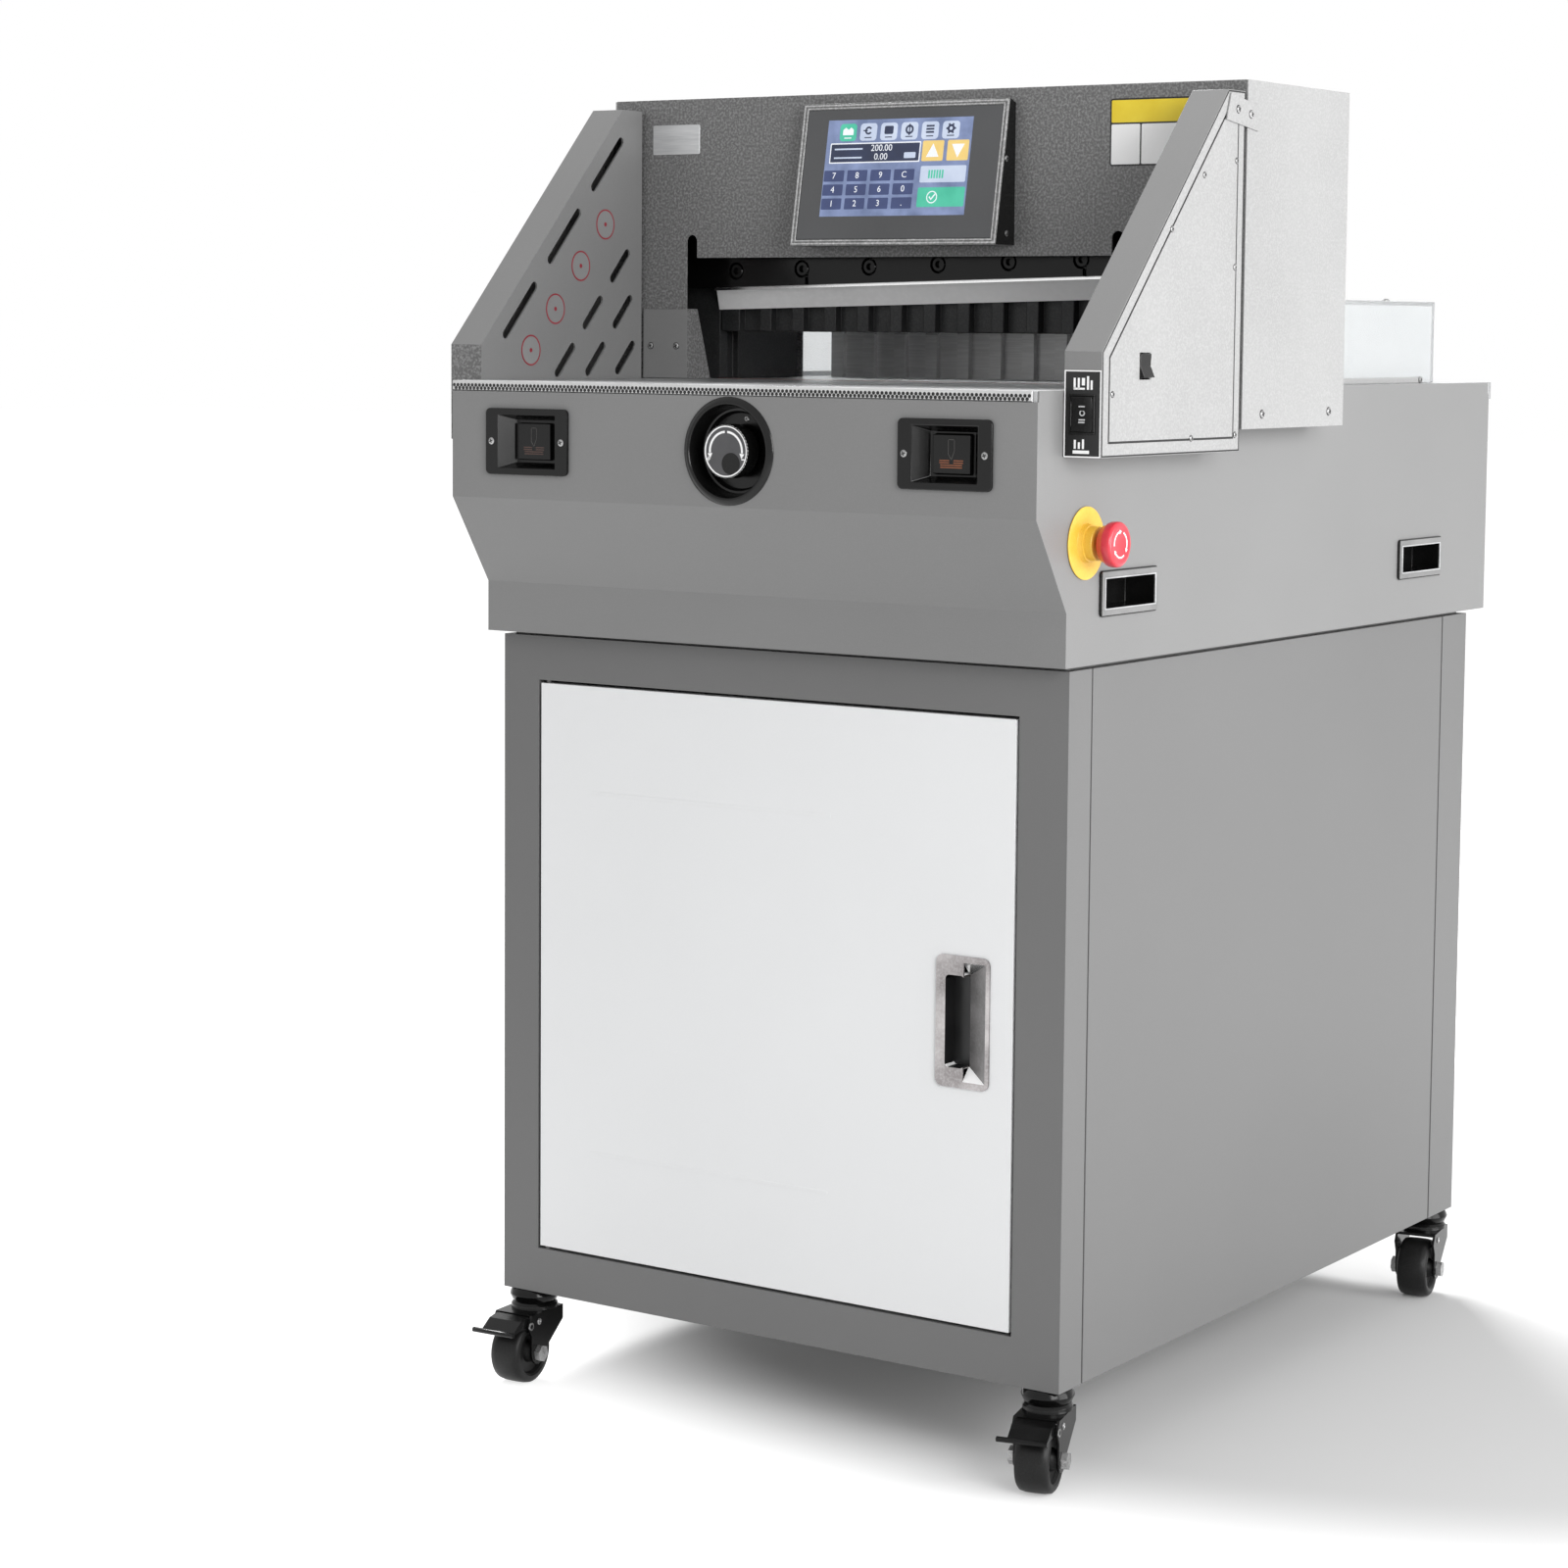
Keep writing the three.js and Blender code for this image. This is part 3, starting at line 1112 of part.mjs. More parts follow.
// Touch screen: a tapered tray on the bridge's front, its window tilted upwards
const screenRoot = bridgeFront - fitGap;
const screenFoot = [bridgeFront - screenBottomProud, tableHeight + screenBottom];
const screenHead = [bridgeFront - screenTopProud, tableHeight + screenTop];
const screenSpan = [-screenLeft, screenRight];
const screenSlope = Math.hypot(screenHead[0] - screenFoot[0], screenHead[1] - screenFoot[1]);

// A rectangle on the screen's tilted face, between two depths behind it.
function onScreenFace(border, front, back) {
  const up = screenHead.map((place, i) => (place - screenFoot[i]) / screenSlope);
  const head = screenSlope - border;
  const corners = [[border, front], [head, front], [head, back], [border, back]];
  return corners.map(([along, depth]) => [
    screenFoot[0] + along * up[0] + depth * up[1],
    screenFoot[1] + along * up[1] - depth * up[0],
  ]);
}

function screenHousing() {
  const rootTop = tableHeight + screenTop - screenRootDrop;
  const outline = [[screenRoot, screenFoot[1]], screenFoot, screenHead, [screenRoot, rootTop]];
  const shell = prism('x', outline, screenSpan);
  const inner = inset(outline, screenWall);
  for (const corner of [inner.at(0), inner.at(-1)]) corner[0] = screenRoot + overrun;
  const hollow = prism('x', inner, [screenSpan[0] + screenWall, screenSpan[1] - screenWall]);
  const window = prism('x', onScreenFace(screenBorder, -overrun, screenWall + overrun),
    [screenSpan[0] + screenBorder, screenSpan[1] - screenBorder]);
  return cut(shell, hollow, window);
}
piece('screen_housing', 'blackPlastic', screenHousing());
const panelBorder = screenBorder + fitGap;
piece('screen_panel', 'screenGlass', prism('x', onScreenFace(panelBorder, 0, screenPanelThickness),
  [screenSpan[0] + panelBorder, screenSpan[1] - panelBorder]));

// Knife: a block that slides in the left upright and carries the pivot of the blade's carrier
piece('knife_slide_block', 'brightSteel', join(
  prism('y', alongStroke(slideBlockLength / 2, slideBlockLength / 2, slideBlockWidth),
    [frameFront, frameFront + slideBlockDepth]),
  rod('y', pivotPinRadius, [carrierFront, frameFront + fitGap], [-pivotFromCentre, 0, pivotHeight])));

const knifeStand = new THREE.Group();
knifeStand.position.set(-pivotFromCentre, 0, pivotHeight);
knifeStand.rotation.y = -knifeTilt;
machine.add(knifeStand);
const carrierBack = carrierFront + carrierThickness;
const carrierFoot = bevelHeight - edgeBelowPivot;

function knifeCarrier() {
  const bar = box([-carrierLeft, carrierRight], [carrierFront, carrierBack],
    [carrierFoot, carrierAbovePivot]);
  const through = [carrierFront - overrun, carrierBack + overrun];
  const pinHole = rod('y', pivotPinRadius + fitGap, through, [0, 0, 0]);
  const pinRest = drawbarReach / Math.cos(knifeTilt);
  const pinSlotReach = drawbarReach + knifeShift;
  const pinPlay = drawbarPinRadius + drawbarPlay;
  const pinSlot = box([pinRest - pinPlay, pinSlotReach + pinPlay], through, [-pinPlay, pinPlay]);
  const pockets = Array.from({ length: boltPocketCount }, (_, i) => rod('y', boltPocketRadius,
    [carrierFront - overrun, carrierFront + boltPocketDepth],
    [boltPocketFirst + i * boltPocketPitch, 0, carrierFoot + boltPocketAboveBevel], pinSides));
  const notches = [firstNotch, secondNotch].map((x) => box(around(x, notchWidth), through,
    [carrierFoot - overrun, carrierFoot + notchHeight]));
  return cut(bar, pinHole, pinSlot, ...pockets, ...notches);
}
piece('knife_carrier', 'brightSteel', knifeCarrier(), knifeStand);

function knifeBlade() {
  const front = knifeRear - bladeThickness;
  const bladeTop = bladeHeight - edgeBelowPivot;
  const section = [[front, carrierFoot], [knifeRear, -edgeBelowPivot],
    [knifeRear, bladeTop], [front, bladeTop]];
  const blade = prism('x', section, [bladeInset, bladeInset + bladeLength]);
  const corner = prism('y', [[bladeInset - overrun, bladeHeight - edgeBelowPivot + overrun],
    [bladeInset - overrun, -edgeBelowPivot - overrun], [bladeInset, -edgeBelowPivot - overrun],
    [bladeInset + bladeEndCut, bladeTop + overrun]], [front - overrun, knifeRear + overrun]);
  return cut(blade, corner);
}
piece('knife_blade', 'brightSteel', knifeBlade(), knifeStand);

// Knife drive: a drawbar with a nut at its foot, on a spindle that a gearmotor in the body turns
const nutFoot = tableHeight - drawbarFoot;
const spindlePlace = [drawbarFromCentre, spindleFromFront, 0];
const nutBack = spindleFromFront + drawnutDepth / 2;
piece('knife_drawbar', 'brightSteel', cut(join(
  box(around(drawbarFromCentre, drawbarWidth), [drawbarFront, drawbarBack],
    [nutFoot, tableHeight + drawbarTop]),
  box(around(drawbarFromCentre, drawnutWidth), [drawbarFront, nutBack], [nutFoot, nutFoot + drawnutHeight]),
  rod('y', drawbarPinRadius, [carrierFront, drawbarFront + fitGap],
    [drawbarFromCentre, 0, drawbarPinHeight])),
rod('z', spindleRadius + fitGap, [nutFoot - overrun, nutFoot + drawnutHeight + overrun], spindlePlace)));

const spindleFoot = tableHeight - spindleLowEnd;
piece('knife_spindle', 'brightSteel', rod('z', spindleRadius,
  [spindleFoot, tableBottom + spindleSeat - fitGap], spindlePlace));

function knifeGearmotor() {
  const floor = bodyBottom + sheet + fitGap;
  const right = bodySide - sheet - gearboxClearance;
  const gearbox = box([right - gearboxWidth, right], around(spindleFromFront, gearboxDepth),
    [floor, floor + gearboxHeight]);
  const motorEnd = right - gearboxWidth;
  const motor = rod('x', knifeMotorRadius, [motorEnd - knifeMotorLength, motorEnd + fitGap],
    [0, spindleFromFront, floor + knifeMotorRadius]);
  return cut(join(gearbox, motor), rod('z', spindleRadius + fitGap,
    [spindleFoot - fitGap, floor + gearboxHeight + overrun], spindlePlace));
}
piece('knife_gearmotor', 'motorBlack', knifeGearmotor());

// Clamp: a beam between the uprights with a comb on its front, moved by a spindle through a geared motor
function clampBeam() {
  const foot = tableHeight + clampBottom;
  const span = [clampPlay - mouthLeft, mouthRight - clampPlay];
  const beam = box(span, [clampFront, clampFront + clampDepth], [foot, foot + clampHeight]);
  const tongues = box([span[0] - tongueLength, span[1] + tongueLength],
    [tongueFront, tongueFront + tongueWidth], [foot, foot + clampHeight]);
  const count = Math.floor((span[1] - span[0] - ribWidth) / ribPitch);
  const gaps = Array.from({ length: count }, (_, i) => {
    const from = mouthCentre + (i - count / 2) * ribPitch + ribWidth / 2;
    return box([from, from + ribPitch - ribWidth], [clampFront - overrun, clampFront + ribDepth],
      [foot - overrun, foot + ribPitch]);
  });
  const spindle = rod('z', clampSpindleRadius, [foot + clampHeight - fitGap, tableHeight + clampSpindleTop],
    [mouthCentre, clampMiddle, 0]);
  return join(cut(join(beam, tongues), ...gaps), spindle);
}
piece('clamp_beam', 'castIron', clampBeam());

const clampBoxRun = [clampFront, beamFront - fitGap];
const clampBoxRise = [tableHeight + clampBoxBottom, tableHeight + clampBoxBottom + clampBoxHeight];
const clampBoxRight = mouthCentre + clampBoxWidth / 2;
piece('clamp_motor', 'motorBlack', cut(join(
  box(around(mouthCentre, clampBoxWidth), clampBoxRun, clampBoxRise),
  rod('x', clampMotorRadius, [clampBoxRight - fitGap, clampBoxRight + clampMotorLength],
    [0, (clampBoxRun[0] + clampBoxRun[1]) / 2, (clampBoxRise[0] + clampBoxRise[1]) / 2])),
rod('z', clampSpindleRadius + fitGap, [clampBoxRise[0] - overrun, clampBoxRise[1] + overrun],
  [mouthCentre, clampMiddle, 0])));

// Back gauge: a ribbed fence on a foot whose nut runs on the gauge screw under the table
function backGauge() {
  const foot = tableHeight + fitGap;
  const fenceRise = [foot, foot + gaugeHeight];
  const middle = gaugeFace + gaugeFootMiddle;
  const fence = box(around(mouthCentre, gaugeWidth), [gaugeFace, gaugeFace + gaugeThickness], fenceRise);
  const count = Math.floor((gaugeWidth - ribWidth) / ribPitch);
  const gaps = Array.from({ length: count }, (_, i) => {
    const from = mouthCentre + (i - count / 2) * ribPitch + ribWidth / 2;
    return box([from, from + ribPitch - ribWidth], [gaugeFace - overrun, gaugeFace + gaugeRibDepth],
      [fenceRise[0] - overrun, fenceRise[1] + overrun]);
  });
  const stem = box(around(0, gaugeFootWidth), around(middle, gaugeFootLength),
    [gaugeScrewHeight, fenceRise[0] + fitGap]);
  const nut = box(around(0, gaugeNutSide), around(middle, gaugeNutSide),
    around(gaugeScrewHeight, gaugeNutSide));
  const bore = rod('y', gaugeScrewRadius + fitGap, [gaugeFace - overrun, gaugeFace + gaugeNutSide + overrun],
    [0, 0, gaugeScrewHeight]);
  return cut(join(cut(fence, ...gaps), stem, nut), bore);
}
piece('back_gauge', 'aluminium', backGauge());

const gaugeMotorFront = rearLugBack + fitGap;
piece('gauge_screw', 'brightSteel', rod('y', gaugeScrewRadius,
  [frontLugBack - gaugeScrewSeat + fitGap, gaugeMotorFront + gaugeScrewSeat - fitGap],
  [0, 0, gaugeScrewHeight]));
piece('gauge_motor', 'motorBlack', cut(
  box(around(0, gaugeMotorSide), [gaugeMotorFront, gaugeMotorFront + gaugeMotorLength],
    around(gaugeScrewHeight, gaugeMotorSide)),
  rod('y', gaugeScrewRadius + fitGap, [gaugeMotorFront - overrun, gaugeMotorFront + gaugeScrewSeat],
    [0, 0, gaugeScrewHeight])));

// Clear cover over the table behind the bridge, open to the bridge and to the table
const rearCoverFoot = tableHeight + fitGap;
piece('rear_cover', 'clearPlastic', cut(
  box([-rearCoverHalfWidth, rearCoverHalfWidth], [bridgeBack + fitGap, rearCoverBack],
    [rearCoverFoot, tableHeight + rearCoverHeight]),
  box([rearCoverWall - rearCoverHalfWidth, rearCoverHalfWidth - rearCoverWall],
    [bridgeBack - overrun, rearCoverBack - rearCoverWall],
    [rearCoverFoot - overrun, tableHeight + rearCoverHeight - rearCoverWall])));

// Mains inlet in the back of the body
function powerInlet() {
  const plateRun = [bodyRear + fitGap, bodyRear + fitGap + inletPlateProud];
  const floor = plateRun[1] - inletBoxDepth;
  const span = (length) => around(-inletFromCentre, length);
  const rise = (length) => around(inletHeight, length);
  const plate = box(span(inletPlateWidth), plateRun, rise(inletPlateHeight));
  const well = box(span(inletBoxWidth), [floor, plateRun[1]], rise(inletBoxHeight));
  const hollow = box(span(inletBoxWidth - 2 * inletWall), [floor + inletWall, plateRun[1] + overrun],
    rise(inletBoxHeight - 2 * inletWall));
  const pins = [-1, 0, 1].map((place) => box(
    around(place * inletPinPitch - inletFromCentre, inletPinThickness),
    [floor, floor + inletWall + inletPinLength], rise(inletPinWidth)));
  return join(cut(join(plate, well), hollow), ...pins);
}
piece('power_inlet', 'blackPlastic', powerInlet());

const outline = new THREE.Box3().setFromObject(machine);
const middle = outline.getCenter(new THREE.Vector3());
machine.position.set(-middle.x, -middle.y, -outline.min.z);

export default part;
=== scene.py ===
import json
import math
import bmesh
import bpy
from mathutils import Matrix, Vector


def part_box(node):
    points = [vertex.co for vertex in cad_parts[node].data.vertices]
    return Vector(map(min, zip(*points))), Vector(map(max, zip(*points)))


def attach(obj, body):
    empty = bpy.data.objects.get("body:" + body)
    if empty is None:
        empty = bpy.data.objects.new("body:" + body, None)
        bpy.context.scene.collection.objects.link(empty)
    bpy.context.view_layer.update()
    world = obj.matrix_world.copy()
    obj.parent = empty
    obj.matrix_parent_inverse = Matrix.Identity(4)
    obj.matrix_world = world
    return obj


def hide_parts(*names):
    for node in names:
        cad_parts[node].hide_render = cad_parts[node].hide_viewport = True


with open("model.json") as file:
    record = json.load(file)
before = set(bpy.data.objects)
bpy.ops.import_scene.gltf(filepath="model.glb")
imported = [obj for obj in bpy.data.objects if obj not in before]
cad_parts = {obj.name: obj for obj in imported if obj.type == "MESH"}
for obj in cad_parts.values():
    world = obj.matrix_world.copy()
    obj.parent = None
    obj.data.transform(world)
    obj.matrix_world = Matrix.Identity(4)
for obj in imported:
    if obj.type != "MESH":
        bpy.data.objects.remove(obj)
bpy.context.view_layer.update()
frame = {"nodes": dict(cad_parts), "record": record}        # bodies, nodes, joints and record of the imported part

record = frame["record"]
slotOf = {row["node"]: row["material_slot"] for row in record["subparts"]}
bodyOf = {node: body for body, names in record["behaviour"]["bodies"].items() for node in names}
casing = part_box("body_housing")
# sizes below are millimetres from the middle of the casing's front face, on the floor
toMetres = Matrix.Translation(((casing[0].x + casing[1].x) / 2, casing[0].y, 0)) @ Matrix.Scale(0.001, 4)
tableHeight = 980


# Finishes: dark and light are the ends of a slow change over the surface (cloud), speck is the colour of a
# fine one (grain), which comes in up to the share. Both are per metre, and the bump is in micrometres.
def tone(level):
    # a level from 0 to 255, or three of them, as the linear colour that a shader takes
    levels = [part / 255 for part in (level if isinstance(level, tuple) else (level,) * 3)]
    return tuple(part / 12.92 if part <= 0.04045 else ((part + 0.055) / 1.055) ** 2.4
                 for part in levels) + (1,)


looks = {
    "casingPaint": dict(dark=122, light=130, speck=140, share=0.2, cloud=2.2, grain=900,
                        rough=(0.36, 0.48), bump=30),
    "signPaint": dict(dark=128, light=138, speck=146, share=0.2, cloud=12, grain=900, rough=(0.4, 0.5),
                      bump=10),
    "hammerPaint": dict(dark=92, light=100, speck=146, share=0.85, cloud=3, grain=420, rough=(0.34, 0.46),
                        bump=120),
    # a much lighter copy of the hammer paint, a painted highlight on the screen's rim
    "rimPaint": dict(dark=160, light=180, speck=232, share=0.6, cloud=30, grain=420, rough=(0.2, 0.32),
                     bump=120),
    "cabinetPaint": dict(dark=101, light=109, speck=120, share=0.2, cloud=1.6, grain=1100,
                         rough=(0.38, 0.5), bump=30),
    "coverPaint": dict(dark=151, light=161, speck=184, share=0.4, cloud=4, grain=520, rough=(0.4, 0.55),
                       bump=60),
    "doorPaint": dict(dark=(230, 231, 232), light=(236, 237, 238), speck=240, share=0.15, cloud=2,
                      grain=700, rough=(0.28, 0.36), bump=20),
    "blackPlastic": dict(dark=9, light=15, speck=26, share=0.3, cloud=20, grain=1500, rough=(0.12, 0.24),
                         shine=0.3, bump=20),
    "blackSteel": dict(dark=7, light=13, speck=26, share=0.3, cloud=24, grain=700, rough=(0.1, 0.22),
                       shine=0.24, bump=40),
    "brightSteel": dict(dark=168, light=206, speck=226, share=0.35, cloud=30, grain=500,
                        stretch=(0.04, 1, 1), rough=(0.22, 0.38), metal=0.8, bump=20),
    # near-white and barely metallic, so that the blade in the mouth's shade shows the sheen of polished steel
    # painted into its colour
    "groundSteel": dict(dark=232, light=250, speck=254, share=0.3, cloud=9, grain=420,
                        stretch=(0.3, 1, 0.02), rough=(0.26, 0.4), metal=0.1, bump=10),
    # mirror-bright steel that paints highlights: the line on the blade's bevel and the pull's forward-leaning
    # faces
    "edgeSteel": dict(dark=240, light=252, speck=254, share=0.2, cloud=20, grain=500, rough=(0.16, 0.26),
                      metal=1, bump=10),
    "screwSteel": dict(dark=124, light=180, speck=214, share=0.4, cloud=90, grain=900, rough=(0.2, 0.4),
                       metal=0.8, bump=20),
    "castIron": dict(dark=(26, 27, 28), light=(40, 41, 42), speck=66, share=0.35, cloud=14, grain=600,
                     rough=(0.42, 0.62), metal=0.2, bump=120),
    "groundTable": dict(dark=(150, 151, 152), light=(178, 179, 180), speck=205, share=0.4, cloud=7,
                        grain=320, stretch=(1, 0.03, 1), rough=(0.24, 0.4), metal=0.75, bump=20),
    "aluminium": dict(dark=180, light=202, speck=222, share=0.35, cloud=16, grain=500,
                      stretch=(0.05, 1, 1), rough=(0.26, 0.4), metal=0.4, bump=20),
    "chrome": dict(dark=(128, 124, 124), light=(184, 180, 180), speck=200, share=0.2, cloud=26, grain=400,
                   rough=(0.06, 0.14), metal=1, bump=10),
    "gripPaint": dict(dark=112, light=128, speck=150, share=0.2, cloud=20, grain=500, rough=(0.3, 0.42),
                      bump=30),
    # a duller copy of the chrome, painted on the pull's left-facing slope in place of its reflection
    "pullSlope": dict(dark=(104, 102, 102), light=(136, 134, 134), speck=160, share=0.2, cloud=30,
                      grain=400, rough=(0.3, 0.4), metal=0.3, bump=10),
    "rubber": dict(dark=14, light=24, speck=44, share=0.3, cloud=40, grain=900, rough=(0.36, 0.52),
                   shine=0.24, bump=50),
    "redPlastic": dict(dark=(196, 30, 48), light=(216, 44, 62), speck=(232, 90, 100), share=0.2, cloud=40,
                       grain=1500, rough=(0.26, 0.36), coat=0.3, bump=20),
    "yellowPlastic": dict(dark=(214, 168, 44), light=(230, 188, 70), speck=(240, 208, 110), share=0.25,
                          cloud=40, grain=1300, rough=(0.34, 0.46), bump=20),
    "redStick": dict(dark=(170, 40, 36), light=(190, 56, 50), speck=(210, 110, 100), share=0.3, cloud=30,
                     grain=600, stretch=(0.1, 1, 1), rough=(0.45, 0.6), bump=40),
    "clearPlastic": dict(dark=(240, 242, 243), light=(246, 248, 249), speck=252, share=0.1, cloud=8,
                         grain=300, rough=(0.12, 0.2), glass=0.8, bump=10),
    "screenGlass": dict(dark=(64, 65, 67), light=(78, 79, 81), speck=84, share=0.2, cloud=6, grain=900,
                        rough=(0.1, 0.16), coat=0.2, bump=10),
    "motorBlack": dict(dark=(30, 31, 33), light=(46, 47, 50), speck=74, share=0.35, cloud=18, grain=520,
                       rough=(0.42, 0.6), metal=0.2, bump=100),
    "plate": dict(dark=(176, 177, 179), light=(206, 207, 208), speck=222, share=0.4, cloud=40, grain=800,
                  stretch=(0.05, 1, 1), rough=(0.28, 0.4), metal=0.4, bump=10),
}
# besides print, the black print also paints shade into screw recesses, the pull's slot, the strip's holes and the
# seams round the wing covers, and the white print also paints a highlight on the door pull
prints = {
    "blackPrint": ((10, 10, 11), (17, 17, 18), 0), "whitePrint": ((250, 250, 250), (254, 254, 254), 0),
    "greyPrint": ((62, 62, 64), (76, 76, 78), 0), "redPrint": ((136, 40, 54), (152, 52, 64), 0),
    "brassPrint": ((120, 66, 40), (146, 84, 50), 0), "yellowPrint": ((238, 208, 44), (246, 220, 62), 0),
    "rustPrint": ((66, 44, 38), (80, 54, 46), 0), "duskPrint": ((58, 56, 55), (70, 68, 66), 0),
    "screenField": ((70, 84, 116), (132, 146, 184), 0.35), "screenNavy": ((44, 54, 92), (62, 74, 116), 0.3),
    "screenPale": ((176, 188, 212), (200, 210, 228), 0.3), "screenInk": ((30, 38, 62), (44, 54, 84), 0.2),
    "screenWhite": ((226, 230, 238), (240, 243, 248), 0.3),
    "screenGreen": ((56, 170, 140), (84, 194, 164), 0.3),
    "screenYellow": ((222, 188, 106), (234, 204, 128), 0.3),
}
for name, (dark, light, glow) in prints.items():
    looks[name] = dict(dark=dark, light=light, speck=light, share=0.2, cloud=40, grain=1800,
                       rough=(0.3, 0.42), bump=10, glow=glow)


def addNode(tree, kind, **sockets):
    node = tree.nodes.new("ShaderNode" + kind)
    for socket, value in sockets.items():
        node.inputs[socket].default_value = value
    return node


def addRange(tree, factor, source, target):
    # takes the factor from the source's two values over to the target's
    node = addNode(tree, "MapRange")
    for socket, value in zip((1, 2, 3, 4), source + target):
        node.inputs[socket].default_value = value
    tree.links.new(factor, node.inputs[0])
    return node


def makeFinish(name, look):
    material = bpy.data.materials.new(name)
    material.use_nodes = True
    tree = material.node_tree
    shader = tree.nodes["Principled BSDF"]

    def shade(factor, low, high, span):
        node = addNode(tree, "ValToRGB")
        for stop, place, colour in zip(node.color_ramp.elements, span, (low, high)):
            stop.position, stop.color = place, colour
        tree.links.new(factor, node.inputs["Fac"])
        return node.outputs["Color"]

    spot = addNode(tree, "Mapping", Scale=look.get("stretch", (1, 1, 1)))
    tree.links.new(addNode(tree, "TexCoord").outputs["Object"], spot.inputs["Vector"])
    cloud = addNode(tree, "TexNoise", Scale=look["cloud"], Detail=3.0)
    grain = addNode(tree, "TexNoise", Scale=look["grain"], Detail=2.0)
    for pattern in (cloud, grain):
        tree.links.new(spot.outputs["Vector"], pattern.inputs["Vector"])
    base = shade(cloud.outputs["Fac"], tone(look["dark"]), tone(look["light"]), (0.32, 0.68))
    factor = shade(grain.outputs["Fac"], (0, 0, 0, 1), (look["share"],) * 3 + (1,), (0.42, 0.68))
    mix = addNode(tree, "Mix")
    mix.data_type = "RGBA"
    for source, socket in ((factor, 0), (base, 6)):
        tree.links.new(source, mix.inputs[socket])
    mix.inputs[7].default_value = tone(look["speck"])
    spread = addRange(tree, cloud.outputs["Fac"], (0.3, 0.7), look["rough"])
    relief = addNode(tree, "Bump", Strength=1.0, Distance=look["bump"] / 1000000)
    tree.links.new(grain.outputs["Fac"], relief.inputs["Height"])
    for source, socket in ((mix.outputs[2], "Base Color"), (spread.outputs[0], "Roughness"),
                           (relief.outputs["Normal"], "Normal")):
        tree.links.new(source, shader.inputs[socket])
    for socket, key, plain in (("Metallic", "metal", 0), ("Coat Weight", "coat", 0),
                               ("Transmission Weight", "glass", 0), ("Specular IOR Level", "shine", 0.5),
                               ("Emission Strength", "glow", 0)):
        shader.inputs[socket].default_value = look.get(key, plain)
    shader.inputs["Emission Color"].default_value = tone(look["light"])
    return material


def camel(name):
    first, *rest = name.split("_")
    return first + "".join(word.capitalize() for word in rest)


finishes = {name: makeFinish(name, look) for name, look in looks.items()}
otherFinish = {"charcoal_paint": "casingPaint", "grey_paint": "cabinetPaint", "white_paint": "doorPaint",
               "machined_table": "groundTable"}


def finishOf(node):
    # the finish of the slot's own name, or the other one that is given above
    return otherFinish.get(slotOf[node], camel(slotOf[node]))


for node, piece in frame["nodes"].items():
    for holder in piece.material_slots:
        holder.material = finishes[finishOf(node)]
print("finishes:", len(finishes))

forward, rightward = (0, -1, 0), (1, 0, 0)
clear = 0.02        # a thin layer starts this far above its ground


def rotated(angle, axis="Z"):
    return Matrix.Rotation(math.radians(angle), 4, axis)


def facing(axis):
    # turns +Z to the axis, with +Y kept as near upright as it can be
    return Vector(axis).to_track_quat("Z", "Y").to_matrix().to_4x4()


def seat(place, axis, turn=0):
    return Matrix.Translation(place) @ facing(axis) @ rotated(turn)


def settle(bm, known, matrix, index=0):
    # moves what was just made into place, and gives its faces the finish of that number
    fresh = [vert for vert in bm.verts if vert not in known]
    bmesh.ops.transform(bm, matrix=matrix, verts=fresh)
    for face in {face for vert in fresh for face in vert.link_faces}:
        face.material_index = index
    return fresh


def addBox(bm, low, high, matrix=Matrix(), index=0):
    known = set(bm.verts)
    middle = (Vector(low) + Vector(high)) / 2
    size = Matrix.Diagonal(Vector(high) - Vector(low)).to_4x4()
    bmesh.ops.create_cube(bm, size=1, matrix=Matrix.Translation(middle) @ size)
    return settle(bm, known, matrix, index)


def addBars(bm, matrix, bars, low, high):
    # flat bars, each given as left, foot, right and head
    for left, foot, right, head in bars:
        addBox(bm, (left, foot, low), (right, head, high), matrix)


def addFrame(bm, matrix, outer, inner, low, high):
    # four bars round an opening
    (left, foot, right, head), (gapLeft, gapFoot, gapRight, gapHead) = outer, inner
    bars = ((left, foot, right, gapFoot), (left, gapHead, right, head), (left, gapFoot, gapLeft, gapHead),
            (gapRight, gapFoot, right, gapHead))
    addBars(bm, matrix, bars, low, high)


def addRod(bm, matrix, radius, height, sides, index=0):
    known = set(bm.verts)
    bmesh.ops.create_cone(bm, cap_ends=True, segments=sides, radius1=radius, radius2=radius, depth=height,
                          matrix=Matrix.Translation((0, 0, height / 2)))
    settle(bm, known, matrix, index)


def addLathe(bm, matrix, profile, sides):
    known = set(bm.verts)
    verts = [bm.verts.new((radius, 0, height)) for radius, height in profile]
    edges = [bm.edges.new(pair) for pair in zip(verts, verts[1:])]
    bmesh.ops.spin(bm, geom=verts + edges, axis=(0, 0, 1), cent=(0, 0, 0), angle=math.tau,
                   steps=sides, use_merge=True)
    fresh = [vert for vert in bm.verts if vert not in known]
    bmesh.ops.remove_doubles(bm, verts=fresh, dist=0.001)
    settle(bm, known, matrix)


def addArc(bm, matrix, inner, outer, height, sides, start=0, sweep=360):
    known = set(bm.verts)
    corners = [bm.verts.new((radius, 0, level))
               for radius, level in ((inner, 0), (outer, 0), (outer, height), (inner, height))]
    section = bm.faces.new(corners)
    edges = list(section.edges)
    whole = sweep == 360
    if whole:
        bmesh.ops.delete(bm, geom=[section], context="FACES_ONLY")
    geometry = corners + edges + ([] if whole else [section])
    steps = max(2, round(sides * sweep / 360))
    bmesh.ops.spin(bm, geom=geometry, axis=(0, 0, 1), cent=(0, 0, 0), angle=math.radians(sweep),
                   steps=steps, use_merge=whole)
    settle(bm, known, matrix @ rotated(start))


